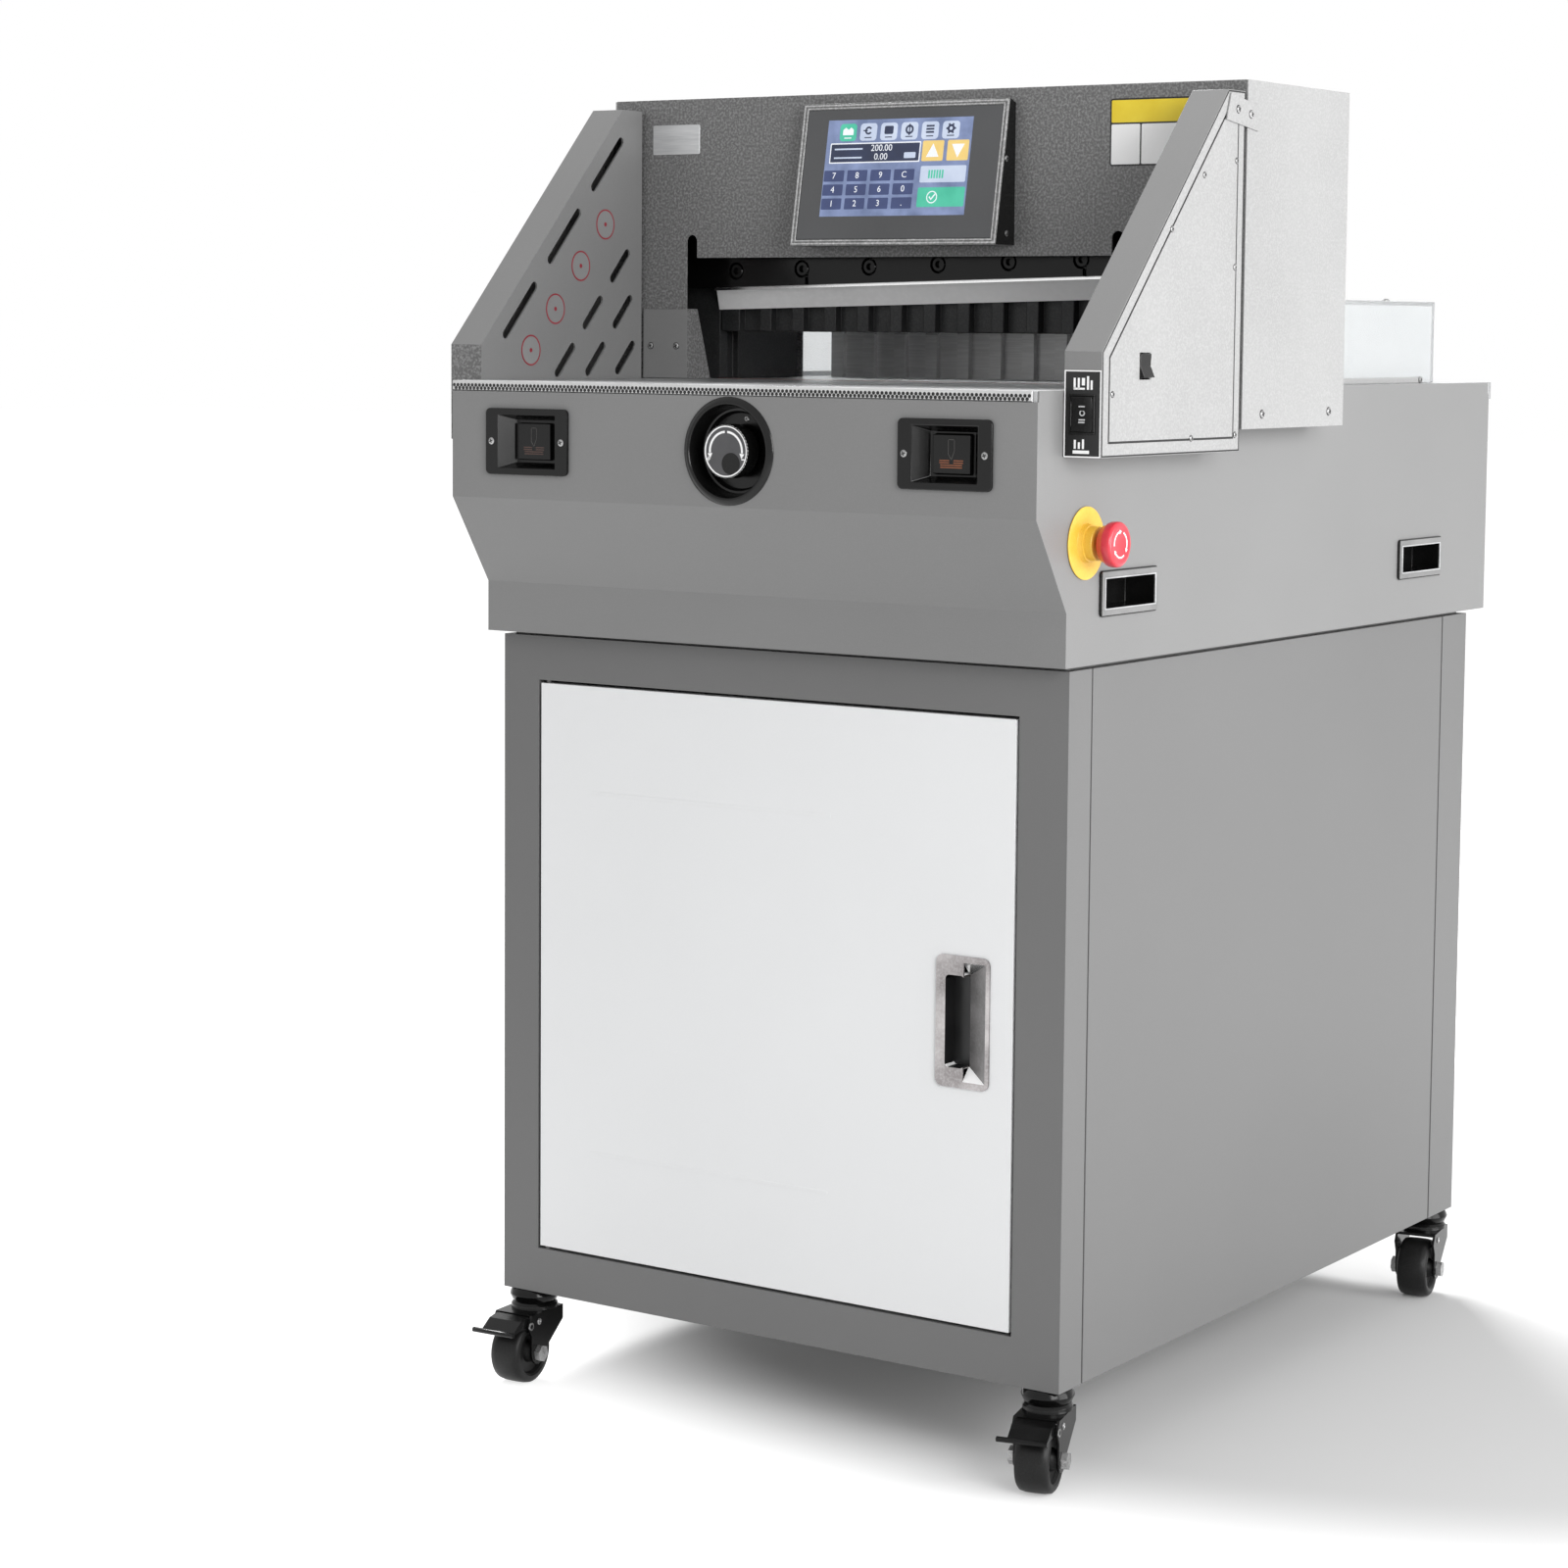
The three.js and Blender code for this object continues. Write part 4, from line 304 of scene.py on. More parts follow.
def raiseFaces(bm, faces, height):
    grown = bmesh.ops.extrude_face_region(bm, geom=faces)["geom"]
    raised = [item for item in grown if isinstance(item, bmesh.types.BMVert)]
    bmesh.ops.translate(bm, verts=raised, vec=(0, 0, height))


def addOutline(bm, matrix, outline, height):
    known = set(bm.verts)
    raiseFaces(bm, [bm.faces.new([bm.verts.new((x, y, 0)) for x, y in outline])], height)
    settle(bm, known, matrix)


def addTip(bm, matrix, angle, radii, width, length, height):
    # the head of an arrow that runs round between two radii
    tip = matrix @ rotated(angle) @ Matrix.Translation((sum(radii) / 2, 0, 0))
    addOutline(bm, tip, [(-width, 0), (width, 0), (0, length)], height)


def widened(outline, reach):
    # the corners of an anticlockwise outline, moved out so that every side keeps its direction
    sides = [(end - start).normalized() for start, end in zip(outline, outline[1:] + outline[:1])]
    moved = []
    for corner, before, after in zip(outline, sides[-1:] + sides[:-1], sides):
        first, second = Vector((before.y, -before.x)), Vector((after.y, -after.x))
        moved.append(corner + (first + second) * reach / (1 + first.dot(second)))
    return moved


def addRing(bm, matrix, inner, outer, height):
    # a flat band between two outlines that have the same number of corners
    known = set(bm.verts)
    edges = []
    for outline in (inner, outer):
        corners = [bm.verts.new((x, y, 0)) for x, y in outline]
        edges += [bm.edges.new(pair) for pair in zip(corners, corners[1:] + corners[:1])]
    raiseFaces(bm, bmesh.ops.bridge_loops(bm, edges=edges)["faces"], height)
    settle(bm, known, matrix)


def bevel(bm, edges, width, segments):
    return bmesh.ops.bevel(bm, geom=edges, offset=width, offset_type="OFFSET", segments=segments,
                           profile=0.5, affect="EDGES", clamp_overlap=True, material=-1)["faces"]


def addPad(bm, matrix, width, height, thickness, corner):
    # a thin plate with rounded corners, its middle at the matrix's origin
    known = set(bm.verts)
    fresh = addBox(bm, (-width / 2, -height / 2, 0), (width / 2, height / 2, thickness))
    upright = {edge for vert in fresh for edge in vert.link_edges
               if abs(edge.verts[0].co.z - edge.verts[1].co.z) > thickness / 2}
    bevel(bm, list(upright), corner, 4)
    settle(bm, known, matrix)


def addWords(bm, matrix, words, size, height):
    known = set(bm.verts)
    curve = bpy.data.curves.new("words", "FONT")
    curve.body, curve.size, curve.extrude, curve.resolution_u = words, size, height / 2, 3
    curve.align_x, curve.align_y = "CENTER", "CENTER"
    holder = bpy.data.objects.new("words", curve)
    flat = bpy.data.meshes.new_from_object(holder)
    bm.from_mesh(flat)
    bpy.data.objects.remove(holder)
    bpy.data.meshes.remove(flat)
    settle(bm, known, matrix @ Matrix.Translation((0, 0, height / 2)))


foldAngle, broadFace, tiny = math.radians(35), 10, 0.001
bevelBreadth = 1.3        # how wide the faces of a rounded edge may be, against its width


def breadth(face):
    return face.calc_area() / max(tiny, *(edge.calc_length() for edge in face.edges))


def flagCurves(bm):
    # flat faces stay flat, and only narrow faces that go on round a curve are shaded smoothly
    for face in bm.faces:
        face.smooth = breadth(face) < broadFace and any(
            tiny < edge.calc_face_angle(0) < foldAngle for edge in face.edges)


def roundEdges(bm, width, segments=2):
    flagCurves(bm)
    folds = [edge for edge in bm.edges if edge.is_manifold and edge.calc_face_angle(0) > foldAngle]
    for face in bevel(bm, folds, width, segments):
        if breadth(face) < width * bevelBreadth:
            face.smooth = True


def addObject(name, data):
    made = bpy.data.objects.new(name, data)
    bpy.context.scene.collection.objects.link(made)
    return made


def addPiece(bm, name, body, finish, standsFor=(), smooth=38):
    bmesh.ops.recalc_face_normals(bm, faces=bm.faces)
    if not any(face.smooth for face in bm.faces):
        flagCurves(bm)
    bmesh.ops.transform(bm, matrix=toMetres, verts=bm.verts)
    mesh = bpy.data.meshes.new(name)
    bm.to_mesh(mesh)
    curved = [face.smooth for face in bm.faces]
    bm.free()
    mesh.set_sharp_from_angle(angle=math.radians(smooth))
    mesh.polygons.foreach_set("use_smooth", curved)
    for each in ([finish] if isinstance(finish, str) else finish):
        mesh.materials.append(finishes[each])
    piece = addObject(name, mesh)
    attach(piece, body)
    if standsFor:
        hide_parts(*standsFor)


def copyOf(node):
    bm = bmesh.new()
    bm.from_mesh(frame["nodes"][node].data)
    bmesh.ops.transform(bm, matrix=toMetres.inverted(), verts=bm.verts)
    bmesh.ops.remove_doubles(bm, verts=bm.verts, dist=0.002)
    bmesh.ops.dissolve_limit(bm, angle_limit=math.radians(0.5), verts=bm.verts, edges=bm.edges)
    return bm


def softenedNode(node, width, finish=None, segments=2, insets=()):
    # the node's own form with rounded edges, and each inset's finish on the faces that belong to it
    bm = copyOf(node)
    roundEdges(bm, width, segments)
    used = [finish or finishOf(node)] + [inset for inset, belongs in insets]
    bm.normal_update()
    for face in bm.faces:
        for number, (inset, belongs) in enumerate(insets, 1):
            if belongs(face.calc_center_median(), face.normal):
                face.material_index = number
                break
    addPiece(bm, camel(node), bodyOf[node], used, [node])


screwSteelAndShade = ["screwSteel", "blackPrint"]
screwShape = dict(turn=20, shoulder=0.4, crown=0.75, crownHeight=0.9, barHalf=0.16, barReach=0.62,
                  barFoot=0.6, barHead=(1.02, 1.03), sides=16, seatRadius=1.18, seatHeight=0.12)


def addScrew(bm, place, axis, radius, height):
    shape = screwShape
    matrix = seat(place, axis, shape["turn"])
    profile = [(0, 0), (radius, 0), (radius, height * shape["shoulder"]),
               (radius * shape["crown"], height * shape["crownHeight"]), (0, height)]
    addLathe(bm, matrix, profile, shape["sides"])
    # a black ring round the head's foot paints the shade under it, and black bars across the head paint the shade
    # in its cross recess
    addRod(bm, matrix, radius * shape["seatRadius"], height * shape["seatHeight"], shape["sides"], 1)
    half, reach, foot = radius * shape["barHalf"], radius * shape["barReach"], height * shape["barFoot"]
    for across, along, head in ((reach, half, shape["barHead"][0]), (half, reach, shape["barHead"][1])):
        addBox(bm, (-across, -along, foot), (across, along, height * head), matrix, 1)


def screwPiece(name, places, axis, radius, height):
    bm = bmesh.new()
    for place in places:
        addScrew(bm, place, axis, radius, height)
    addPiece(bm, name, "base", screwSteelAndShade)


# Sheet metal and castings
edgeRounding = {
    "cabinet_frame": 1.0, "cabinet_side_right": 0.6, "cabinet_side_left": 0.6,
    "body_housing": 0.9, "table_plate": 0.5, "cutting_stick": 0.5,
    "bridge_cover": 0.8, "bridge_frame": 0.5, "clamp_beam": 1.0,
    "back_gauge": 0.7, "knife_gearmotor": 1.2, "clamp_motor": 1.0, "gauge_motor": 0.5,
    "knife_drawbar": 0.5, "knife_slide_block": 0.4,
    "rear_cover": 0.8, "power_inlet": 0.5, "rocker_switch": 0.5, "power_switch": 0.5,
}
coverRounding = {"side_cover_right": 0.5, "side_cover_left": 0.5, "wing_cover_right": 0.35,
                 "wing_cover_left": 0.35}
for node, width in edgeRounding.items():
    softenedNode(node, width)
for node, width in coverRounding.items():
    softenedNode(node, width, "coverPaint")
shell = dict(flat=0.95, outside=355)
for node in ("wing_shell_right", "wing_shell_left"):
    softenedNode(node, 0.7, "casingPaint", insets=(
        ("hammerPaint", lambda spot, normal: spot.x < 0 and normal.y < -shell["flat"]),
        ("coverPaint", lambda spot, normal: abs(spot.x) > shell["outside"]
         and abs(normal.x) > shell["flat"])))
print("softened pieces:", len(edgeRounding) + len(coverRounding) + 2)

# Door and its pull
door = dict(front=72, creases=((-208, 66, 236), (-208, 66, 586)), creaseWidth=3, creaseHeight=0.4, sink=0.4,
            slot=(191.9, 212.1), slotRise=(371.4, 455.6), slotFloor=83, wall=0.95, slope=0.2, facet=0.5)
# the door's back, which the photo doesn't show, is light grey
softenedNode("cabinet_door", 1.1, "doorPaint", 3, (
    ("coverPaint", lambda spot, normal: normal.y > door["facet"]),))
bm = bmesh.new()
for left, right, level in door["creases"]:
    addBox(bm, (left, door["front"] - door["creaseHeight"], level),
           (right, door["front"] + door["sink"], level + door["creaseWidth"]))
roundEdges(bm, 0.15)
addPiece(bm, "doorCreases", "door", "doorPaint")


def inSlot(spot, normal):
    # the upright walls and the floor of the pull's slot, without its rounded edges; they are painted black as the
    # shade inside the slot
    (left, right), (foot, head) = door["slot"], door["slotRise"]
    within = left < spot.x < right and foot < spot.z < head and spot.y > door["front"]
    upright = max(abs(normal.x), abs(normal.z)) > door["wall"]
    return within and (upright or spot.y > door["slotFloor"])


# the chrome pull is painted by facing: black shade in the slot, a duller grey copy of the chrome in place of the
# reflection on the slope that faces left, a painted highlight in white on faces that look up, and mirror-bright
# steel as a painted highlight on faces that lean forward
softenedNode("door_pull", 0.5, insets=(
    ("blackPrint", inSlot),
    ("pullSlope", lambda spot, normal: spot.y > door["front"]
     and -door["wall"] < normal.x < -door["slope"]),
    ("whitePrint", lambda spot, normal: spot.y > door["front"] and normal.z > door["facet"]),
    ("edgeSteel", lambda spot, normal: door["slope"] < -normal.y < door["wall"])))
print("door")

# Casters
casters = {
    "front_right": dict(x=291.5, y=92, turn=14), "front_left": dict(x=-291.5, y=92, turn=4),
    "rear_right": dict(x=291.5, y=904, turn=10), "rear_left": dict(x=-291.5, y=904, turn=-8),
}
caster = dict(trail=25, wheelRadius=31, halfWidth=16, hubHalf=18.7, hubRadius=9, axle=4.3, cheek=21.5,
              nutRadius=8.4, nutHeight=5.6, nutTurn=12, nutGap=0.2, rivet=3.2, rivetPlace=(-24, 62),
              pinRing=(2.3, 3.9), pinHeight=0.9, pinPlace=(-38, 60))
for spot, where in casters.items():
    stand = Matrix.Translation((where["x"], where["y"], 0)) @ rotated(where["turn"])
    softenedNode("caster_head_" + spot, 0.5)
    softenedNode("caster_fork_" + spot, 0.6)
    if spot.startswith("front"):
        softenedNode("brake_pedal_" + spot, 0.5)
    bm = bmesh.new()
    middle = stand @ Matrix.Translation((0, -caster["trail"], caster["wheelRadius"])) @ facing(rightward)
    half, tread = caster["halfWidth"], caster["wheelRadius"]
    right = [(tread, 0), (tread - 0.25, half * 0.55), (tread - 1.2, half * 0.86), (tread - 3, half - 0.6),
             (tread - 5, half), (23.4, half), (22.6, half - 1.2), (21.8, half - 1.4), (20, half - 5.4),
             (14, half - 6), (11, half - 5.4), (10, half - 2), (caster["hubRadius"], half),
             (caster["hubRadius"], caster["hubHalf"]), (caster["axle"], caster["hubHalf"])]
    left = [(radius, -height) for radius, height in reversed(right[1:])]
    addLathe(bm, middle, left + right + left[:1], 56)
    addPiece(bm, camel("caster_wheel_" + spot), "wheel_" + spot, "rubber",
             ["caster_wheel_" + spot], smooth=50)
    bm = bmesh.new()
    for side in (1, -1):
        cheek = stand @ seat((side * caster["cheek"], *caster["rivetPlace"]), (side, 0, 0))
        radius = caster["rivet"]
        addLathe(bm, cheek, [(0, 0), (radius, 0), (radius, 0.6), (radius * 0.72, 1.2), (radius * 0.45, 1.2),
                             (radius * 0.3, 0.5), (0, 0.5)], 20)
        if spot.startswith("front"):
            pin = stand @ seat((side * caster["cheek"], *caster["pinPlace"]), (side, 0, 0))
            addArc(bm, pin, *caster["pinRing"], caster["pinHeight"], 20)
        nutPlace = (side * (caster["cheek"] + caster["nutGap"]), -caster["trail"], caster["wheelRadius"])
        addRod(bm, stand @ seat(nutPlace, (side, 0, 0), caster["nutTurn"]), caster["nutRadius"],
               caster["nutHeight"], 6)
    addPiece(bm, camel("caster_fixings_" + spot), "fork_" + spot, "screwSteel")
print("casters")

# Gauge knob and its bezel
knob = dict(height=920.7, face=-4.3, flutes=96, fluteReach=24.2, fluteDepth=0.8, ring=(21.9, 24),
            ringHeight=0.55, faceHeight=0.15, arrow=(16.6, 18.6), arcs=((-6, 93), (93, 93)), gap=1.5,
            tips=(186, -6), tipWidth=2.6, tipLength=4.6, markReach=19, markDrop=-7, markHalf=2,
            markThin=0.5, markHeight=0.3, cup=(5.5, -11), cupRadius=9.6, screw=(6, 20, 29))
knobSeat = seat((0, 0, knob["height"]), forward)
bm = bmesh.new()
addLathe(bm, knobSeat, [(6.3, -20), (34, -20), (35.2, -19), (36.4, -15), (38.2, -14.6), (41.6, 2.2),
                        (42.4, 3.1), (43.6, 3.3), (44.6, 3.2), (48.6, 0.9), (49, 0.3), (44, 0.3), (36, -22),
                        (6.3, -22), (6.3, -20)], 96)
addPiece(bm, "knobBezel", "base", "blackPlastic", ["handwheel_bezel"])
across, depth, rise = knob["screw"]
screwPiece("bezelScrew", [(across, depth, knob["height"] + rise)], forward, 2.6, 1.2)
bm = bmesh.new()
addLathe(bm, knobSeat, [(0, 4.3), (22.8, 4.3), (23.2, 5), (23.9, 4.9), (24.5, 4), (24.5, -12), (6, -12),
                        (6, -60), (0, -60)], knob["flutes"])
inverse = knobSeat.inverted()
for vert in bm.verts:
    local = inverse @ vert.co
    reach = math.hypot(local.x, local.y)
    step = round(math.atan2(local.y, local.x) / math.tau * knob["flutes"])
    if reach > knob["fluteReach"] and step % 2:
        share = 1 - knob["fluteDepth"] / reach
        vert.co = knobSeat @ Vector((local.x * share, local.y * share, local.z))
addPiece(bm, "gaugeKnob", "gauge_knob", "blackPlastic", ["gauge_handwheel"], smooth=30)
face = seat((0, knob["face"], knob["height"]), forward)
bm = bmesh.new()
addRod(bm, face, knob["ring"][0], knob["faceHeight"], 64)
addPiece(bm, "knobFace", "gauge_knob", "greyPrint")
bm = bmesh.new()
addArc(bm, face, *knob["ring"], knob["ringHeight"], 64)
for start, sweep in knob["arcs"]:
    addArc(bm, face, *knob["arrow"], knob["markHeight"], 64, start + knob["gap"], sweep - 2 * knob["gap"])
for angle, way in zip(knob["tips"], (1, -1)):
    addTip(bm, face, angle, knob["arrow"], knob["tipWidth"], knob["tipLength"] * way, knob["markHeight"])
reach, drop, half, thin = knob["markReach"], knob["markDrop"], knob["markHalf"], knob["markThin"]
marks = [(across - wide, drop - tall, across + wide, drop + tall)
         for across, wide, tall in ((reach, half, thin), (-reach, half, thin), (-reach, thin, half))]
addBars(bm, face, marks, 0, knob["markHeight"])
addPiece(bm, "knobMarks", "gauge_knob", "whitePrint")
bm = bmesh.new()
radius = knob["cupRadius"]
addLathe(bm, face @ Matrix.Translation((*knob["cup"], knob["faceHeight"])),
         [(0, 0), (radius, 0), (radius + 0.2, 0.3), (radius - 0.5, 0.32), (0, 0.12)], 40)
addPiece(bm, "knobFingerCup", "gauge_knob", "blackPlastic")
print("knob")

# Two-hand buttons
button = dict(across=229, height=923.7, face=-3.3, screwOut=41, cap=9, print=0.15,
              bars=((-3.4, 12.4, 3.4, 13), (-3.4, 0, -2.8, 13), (2.8, 3, 3.4, 13)),
              tips=(((-3.4, 0), (-2.7, 0), (0.4, -4.2), (0, -5.2)),
                    ((3.4, 3), (2.8, 3), (-0.2, -4.6), (0.3, -5.2))),
              stack=((-11, -12, 11, -11), (-11, -10, 11, -9), (-12, -8, -2.2, -7), (2.2, -8, 12, -7),
                     (-12, -6, -2.2, -5), (2.2, -6, 12, -5)),
              ink={"right": "brassPrint", "left": "rustPrint"})
for sideName, middle in (("right", button["across"]), ("left", -button["across"])):
    node, title = "cut_button_" + sideName, sideName.capitalize()
    softenedNode("button_housing_" + sideName, 0.9, segments=3)
    softenedNode(node, 0.6)
    screwPiece("buttonScrews" + title, [(middle + out, button["face"], button["height"])
                                        for out in (-button["screwOut"], button["screwOut"])],
               forward, 3.2, 1.3)
    face = seat((middle, button["cap"], button["height"]), forward)
    bm = bmesh.new()
    addBars(bm, face, button["bars"], 0, button["print"])
    for outline in button["tips"]:
        addOutline(bm, face, outline, button["print"])
    addPiece(bm, "buttonKnifeSign" + title, node, "duskPrint")
    bm = bmesh.new()
    addBars(bm, face, button["stack"], 0, button["print"])
    addPiece(bm, "buttonStackSign" + title, node, button["ink"][sideName])
print("buttons")

# Stop button
stop = dict(place=(320.3, 85, 847), headBack=19.3, headFront=35.3, dip=0.9, arrows=(100, 220, 340),
            arrow=(10.6, 12), sweep=84, tipWidth=2, tipLength=-3.4, arrowHeight=0.55)
stopSeat = seat(stop["place"], rightward)
bm = bmesh.new()
addLathe(bm, stopSeat, [(0, -28), (10, -28), (10, 0), (31.6, 0), (32, 0.4), (32, 1.2), (31.4, 1.5),
                        (17.4, 1.5), (17, 1.9), (16.4, 6), (15, 6.4), (15, 13.4), (14.4, 14), (6.3, 14),
                        (6.3, -22), (0, -22)], 72)
addPiece(bm, "stopBase", "base", "yellowPlastic", ["estop_base"])
bm = bmesh.new()
back, front = stop["headBack"], stop["headFront"]
addLathe(bm, stopSeat, [(0, -16.7), (6, -16.7), (6, back), (15.5, back), (16.4, back + 0.6),
                        (17, back + 3.4), (19, back + 5.4), (19.8, back + 7.4), (20, front - 4),
                        (19.6, front - 2), (18.4, front - 0.6), (16.6, front), (14.6, front - 0.2),
                        (7, front - 1), (0, front - 1.2)], 72)
addPiece(bm, "stopHead", "stop_head", "redPlastic", ["estop_head"], smooth=45)
bm = bmesh.new()
face = stopSeat @ Matrix.Translation((0, 0, front - stop["dip"]))
for start in stop["arrows"]:
    addArc(bm, face, *stop["arrow"], stop["arrowHeight"], 60, start, stop["sweep"])
    addTip(bm, face, start, stop["arrow"], stop["tipWidth"], stop["tipLength"], stop["arrowHeight"])
addPiece(bm, "stopArrows", "stop_head", "whitePrint")
print("stop button")

# Hand grips: a grey surround with a bright lip round each black hollow
grip = dict(height=801, ends=(("Front", 163), ("Rear", 784)), proud=322.3, half=(50.8, 19.3),
            lip=(46.8, 14.3), mouth=(45.6, 13.1), surround=0.9, lipHeight=1.5)
for sideName, side in (("Right", 1), ("Left", -1)):
    for endName, along in grip["ends"]:
        softenedNode(f"hand_grip_{endName}_{sideName}".lower(), 0.7)
        outer = seat((side * grip["proud"], along, grip["height"]), (side, 0, 0))
        for name, wide, narrow, head, finish in (
                ("gripSurround", grip["half"], grip["lip"], grip["surround"], "gripPaint"),
                ("gripLip", grip["lip"], grip["mouth"], grip["lipHeight"], "plate")):
            bm = bmesh.new()
            addFrame(bm, outer, (-wide[0], -wide[1], *wide), (-narrow[0], -narrow[1], *narrow),
                     clear, head)
            roundEdges(bm, 0.2, 1)
            addPiece(bm, name + endName + sideName, "base", finish)
print("grips")

# Perforated strip along the table's front edge
strip = dict(left=-320, right=314, foot=970.5, top=980, front=0.02, back=2, rows=(975.7, 972.9), pitch=4.37,
             radius=1.65, sides=12, proud=0.15, shade=0.7)
bm = bmesh.new()
addBox(bm, (strip["left"], strip["front"], strip["foot"]), (strip["right"], strip["back"], strip["top"]))
roundEdges(bm, 0.3, 1)
addPiece(bm, "stripBar", "base", "aluminium", ["table_front_strip"])
# the holes are black discs on the face, painted shade in place of cut holes, and a black band along the foot
# paints the shadow of the gap below the strip
bm = bmesh.new()
for row, level in enumerate(strip["rows"]):
    across = strip["left"] + strip["pitch"] * (1 + row) / 2
    while across < strip["right"] - strip["radius"]:
        addRod(bm, seat((across, strip["front"], level), forward), strip["radius"], strip["proud"],
               strip["sides"])
        across += strip["pitch"]
addBox(bm, (strip["left"], strip["front"] - strip["proud"], strip["foot"]),
       (strip["right"], strip["front"], strip["foot"] + strip["shade"]))
addPiece(bm, "stripHoles", "base", "blackPrint")
print("strip")

# Touch screen
screen = dict(right=114, footY=271, footZ=1111.3, headY=295, headZ=1249, field=(-88, 76, 28.5, 123),
              flat=0.95, slope=(0.2, 0.93), rimHeight=0.35, layer=0.12, screws=((289, 1192), (291, 1122)),
              rims=(((-118.2, 1.2, 113.2, 138.6), (-116.6, 2.8, 111.6, 137)),
                    ((-114.2, 4.2, 109.2, 135.6), (-113, 5.4, 108, 134.4))),
              columns=(0.145, 0.142), rows=(0.13, 0.145))
rise = Vector((0, screen["headY"] - screen["footY"], screen["headZ"] - screen["footZ"]))
up = rise.normalized()
out = Vector((0, -up.z, up.y))
screenSeat = Matrix(((1, up.x, out.x, 0), (0, up.y, out.y, screen["footY"]),
                     (0, up.z, out.z, screen["footZ"]), (0, 0, 0, 1)))
# the housing's sloped edge faces and the thin raised rims carry the lighter copy of the hammer paint as a painted
# highlight along the rim
softenedNode("screen_housing", 1.8, "hammerPaint", 3, (
    ("blackPlastic", lambda spot, normal: abs(normal.x) > screen["flat"]),
    ("rimPaint", lambda spot, normal: screen["slope"][0] < normal.dot(out) < screen["slope"][1])))
softenedNode("screen_panel", 0.5)
bm = bmesh.new()
for wide, narrow in screen["rims"]:
    addFrame(bm, screenSeat, wide, narrow, clear, screen["rimHeight"])
roundEdges(bm, 0.15, 1)
addPiece(bm, "screenRims", "base", "rimPaint")
left, right, foot, head = screen["field"]
fieldWidth, fieldHeight = right - left, head - foot
layer = screen["layer"]


def onField(across, rise, layers=1):
    # a place on the lit field, as shares of its width and height from the lower left corner
    return screenSeat @ Matrix.Translation((left + across * fieldWidth, foot + rise * fieldHeight,
                                            layers * layer))


def addKey(sign, across, rise, width, height, corner=1.4, layers=1):
    addPad(signs[sign], onField(across, rise, layers), width * fieldWidth, height * fieldHeight, layer,
           corner)


bm = bmesh.new()
addBox(bm, (left, foot, clear), (right, head, layer), screenSeat)
addPiece(bm, "screenField", "base", "screenField")
signs = {name: bmesh.new() for name in ("screenNavy", "screenPale", "screenWhite", "screenGreen",
                                        "screenYellow", "screenInk")}
first, pitch = screen["columns"]
for number in range(6):
    across = first + number * pitch
    addKey("screenPale" if number else "screenGreen", across, 0.87, 0.116, 0.18, 3.4)
    ink = signs["screenInk" if number else "screenWhite"]
    here = onField(across, 0.885, 2)
    if number == 0:
        addOutline(ink, here, [(-6, -4), (-6, 1), (-3, 3.4), (0, 1), (3, 3.4), (6, 1), (6, -4)], layer)
    elif number == 1:
        addArc(ink, here, 2.2, 4, layer, 24, 30, 300)
        addBox(ink, (-6, -0.6, 0), (-1, 0.6, layer), here)
    elif number == 2:
        addPad(ink, here, 10, 8, layer, 1.4)
    elif number == 3:
        addArc(ink, here, 2.6, 4.6, layer, 24)
        addBox(ink, (-0.6, -5.6, 0), (0.6, 5.6, layer), here)
    elif number == 4:
        for row in range(3):
            addBox(ink, (-4.4, -4 + row * 3, 0), (4.4, -2.2 + row * 3, layer), here)
    else:
        addArc(ink, here, 1.8, 4, layer, 24)
        for turn in range(6):
            addBox(ink, (3.6, -0.9, 0), (5.4, 0.9, layer), here @ rotated(360 * turn / 6))
    addBox(ink, (-4, -7.4, 0), (4, -6.4, layer), here)
addKey("screenWhite", 0.345, 0.655, 0.63, 0.21, 1)
addKey("screenInk", 0.345, 0.655, 0.615, 0.185, 0.6, 2)
for words, rise in (("200.00", 0.7), ("0.00", 0.61)):
    addWords(signs["screenWhite"], onField(0.39, rise, 3), words, 9, layer)
    addBox(signs["screenPale"], (-16, -1.1, 0), (16, 0.4, layer), onField(0.16, rise, 3))
addKey("screenPale", 0.59, 0.62, 0.08, 0.06, 1, 3)
for across, way in ((0.745, 1), (0.915, -1)):
    addKey("screenYellow", across, 0.66, 0.145, 0.21)
    addOutline(signs["screenWhite"], onField(across, 0.66, 2),
               [(-7, -6 * way), (7, -6 * way), (0, 7 * way)], layer)
first, pitch = screen["rows"]
for row, words in enumerate(("123.", "4560", "789C")):
    for column, word in enumerate(words):
        across, rise = 0.075 + column * 0.163, first + row * pitch
        addKey("screenNavy", across, rise, 0.14, 0.115, 1)
        addWords(signs["screenWhite"], onField(across, rise, 2), word, 8.6, layer)
addKey("screenPale", 0.83, 0.42, 0.31, 0.17)
for bar in range(6):
    addBox(signs["screenGreen"], (-8 + bar * 3, -4, 0), (-6.2 + bar * 3, 4, layer), onField(0.78, 0.42, 2))
addKey("screenGreen", 0.83, 0.185, 0.32, 0.2)
tick = onField(0.77, 0.185, 2)
addArc(signs["screenWhite"], tick, 5, 6, layer, 32)
addOutline(signs["screenWhite"], tick, [(-3.4, 0), (-0.8, -3), (4, 2.6), (3, 3.4), (-0.8, -1.2), (-2.6, 1)],
           layer)
for name, sign in signs.items():
    addPiece(sign, "screenSigns" + name.removeprefix("screen"), "base", name)
screwPiece("screenScrews", [(screen["right"], *place) for place in screen["screws"]], rightward, 3, 1.2)
print("screen")

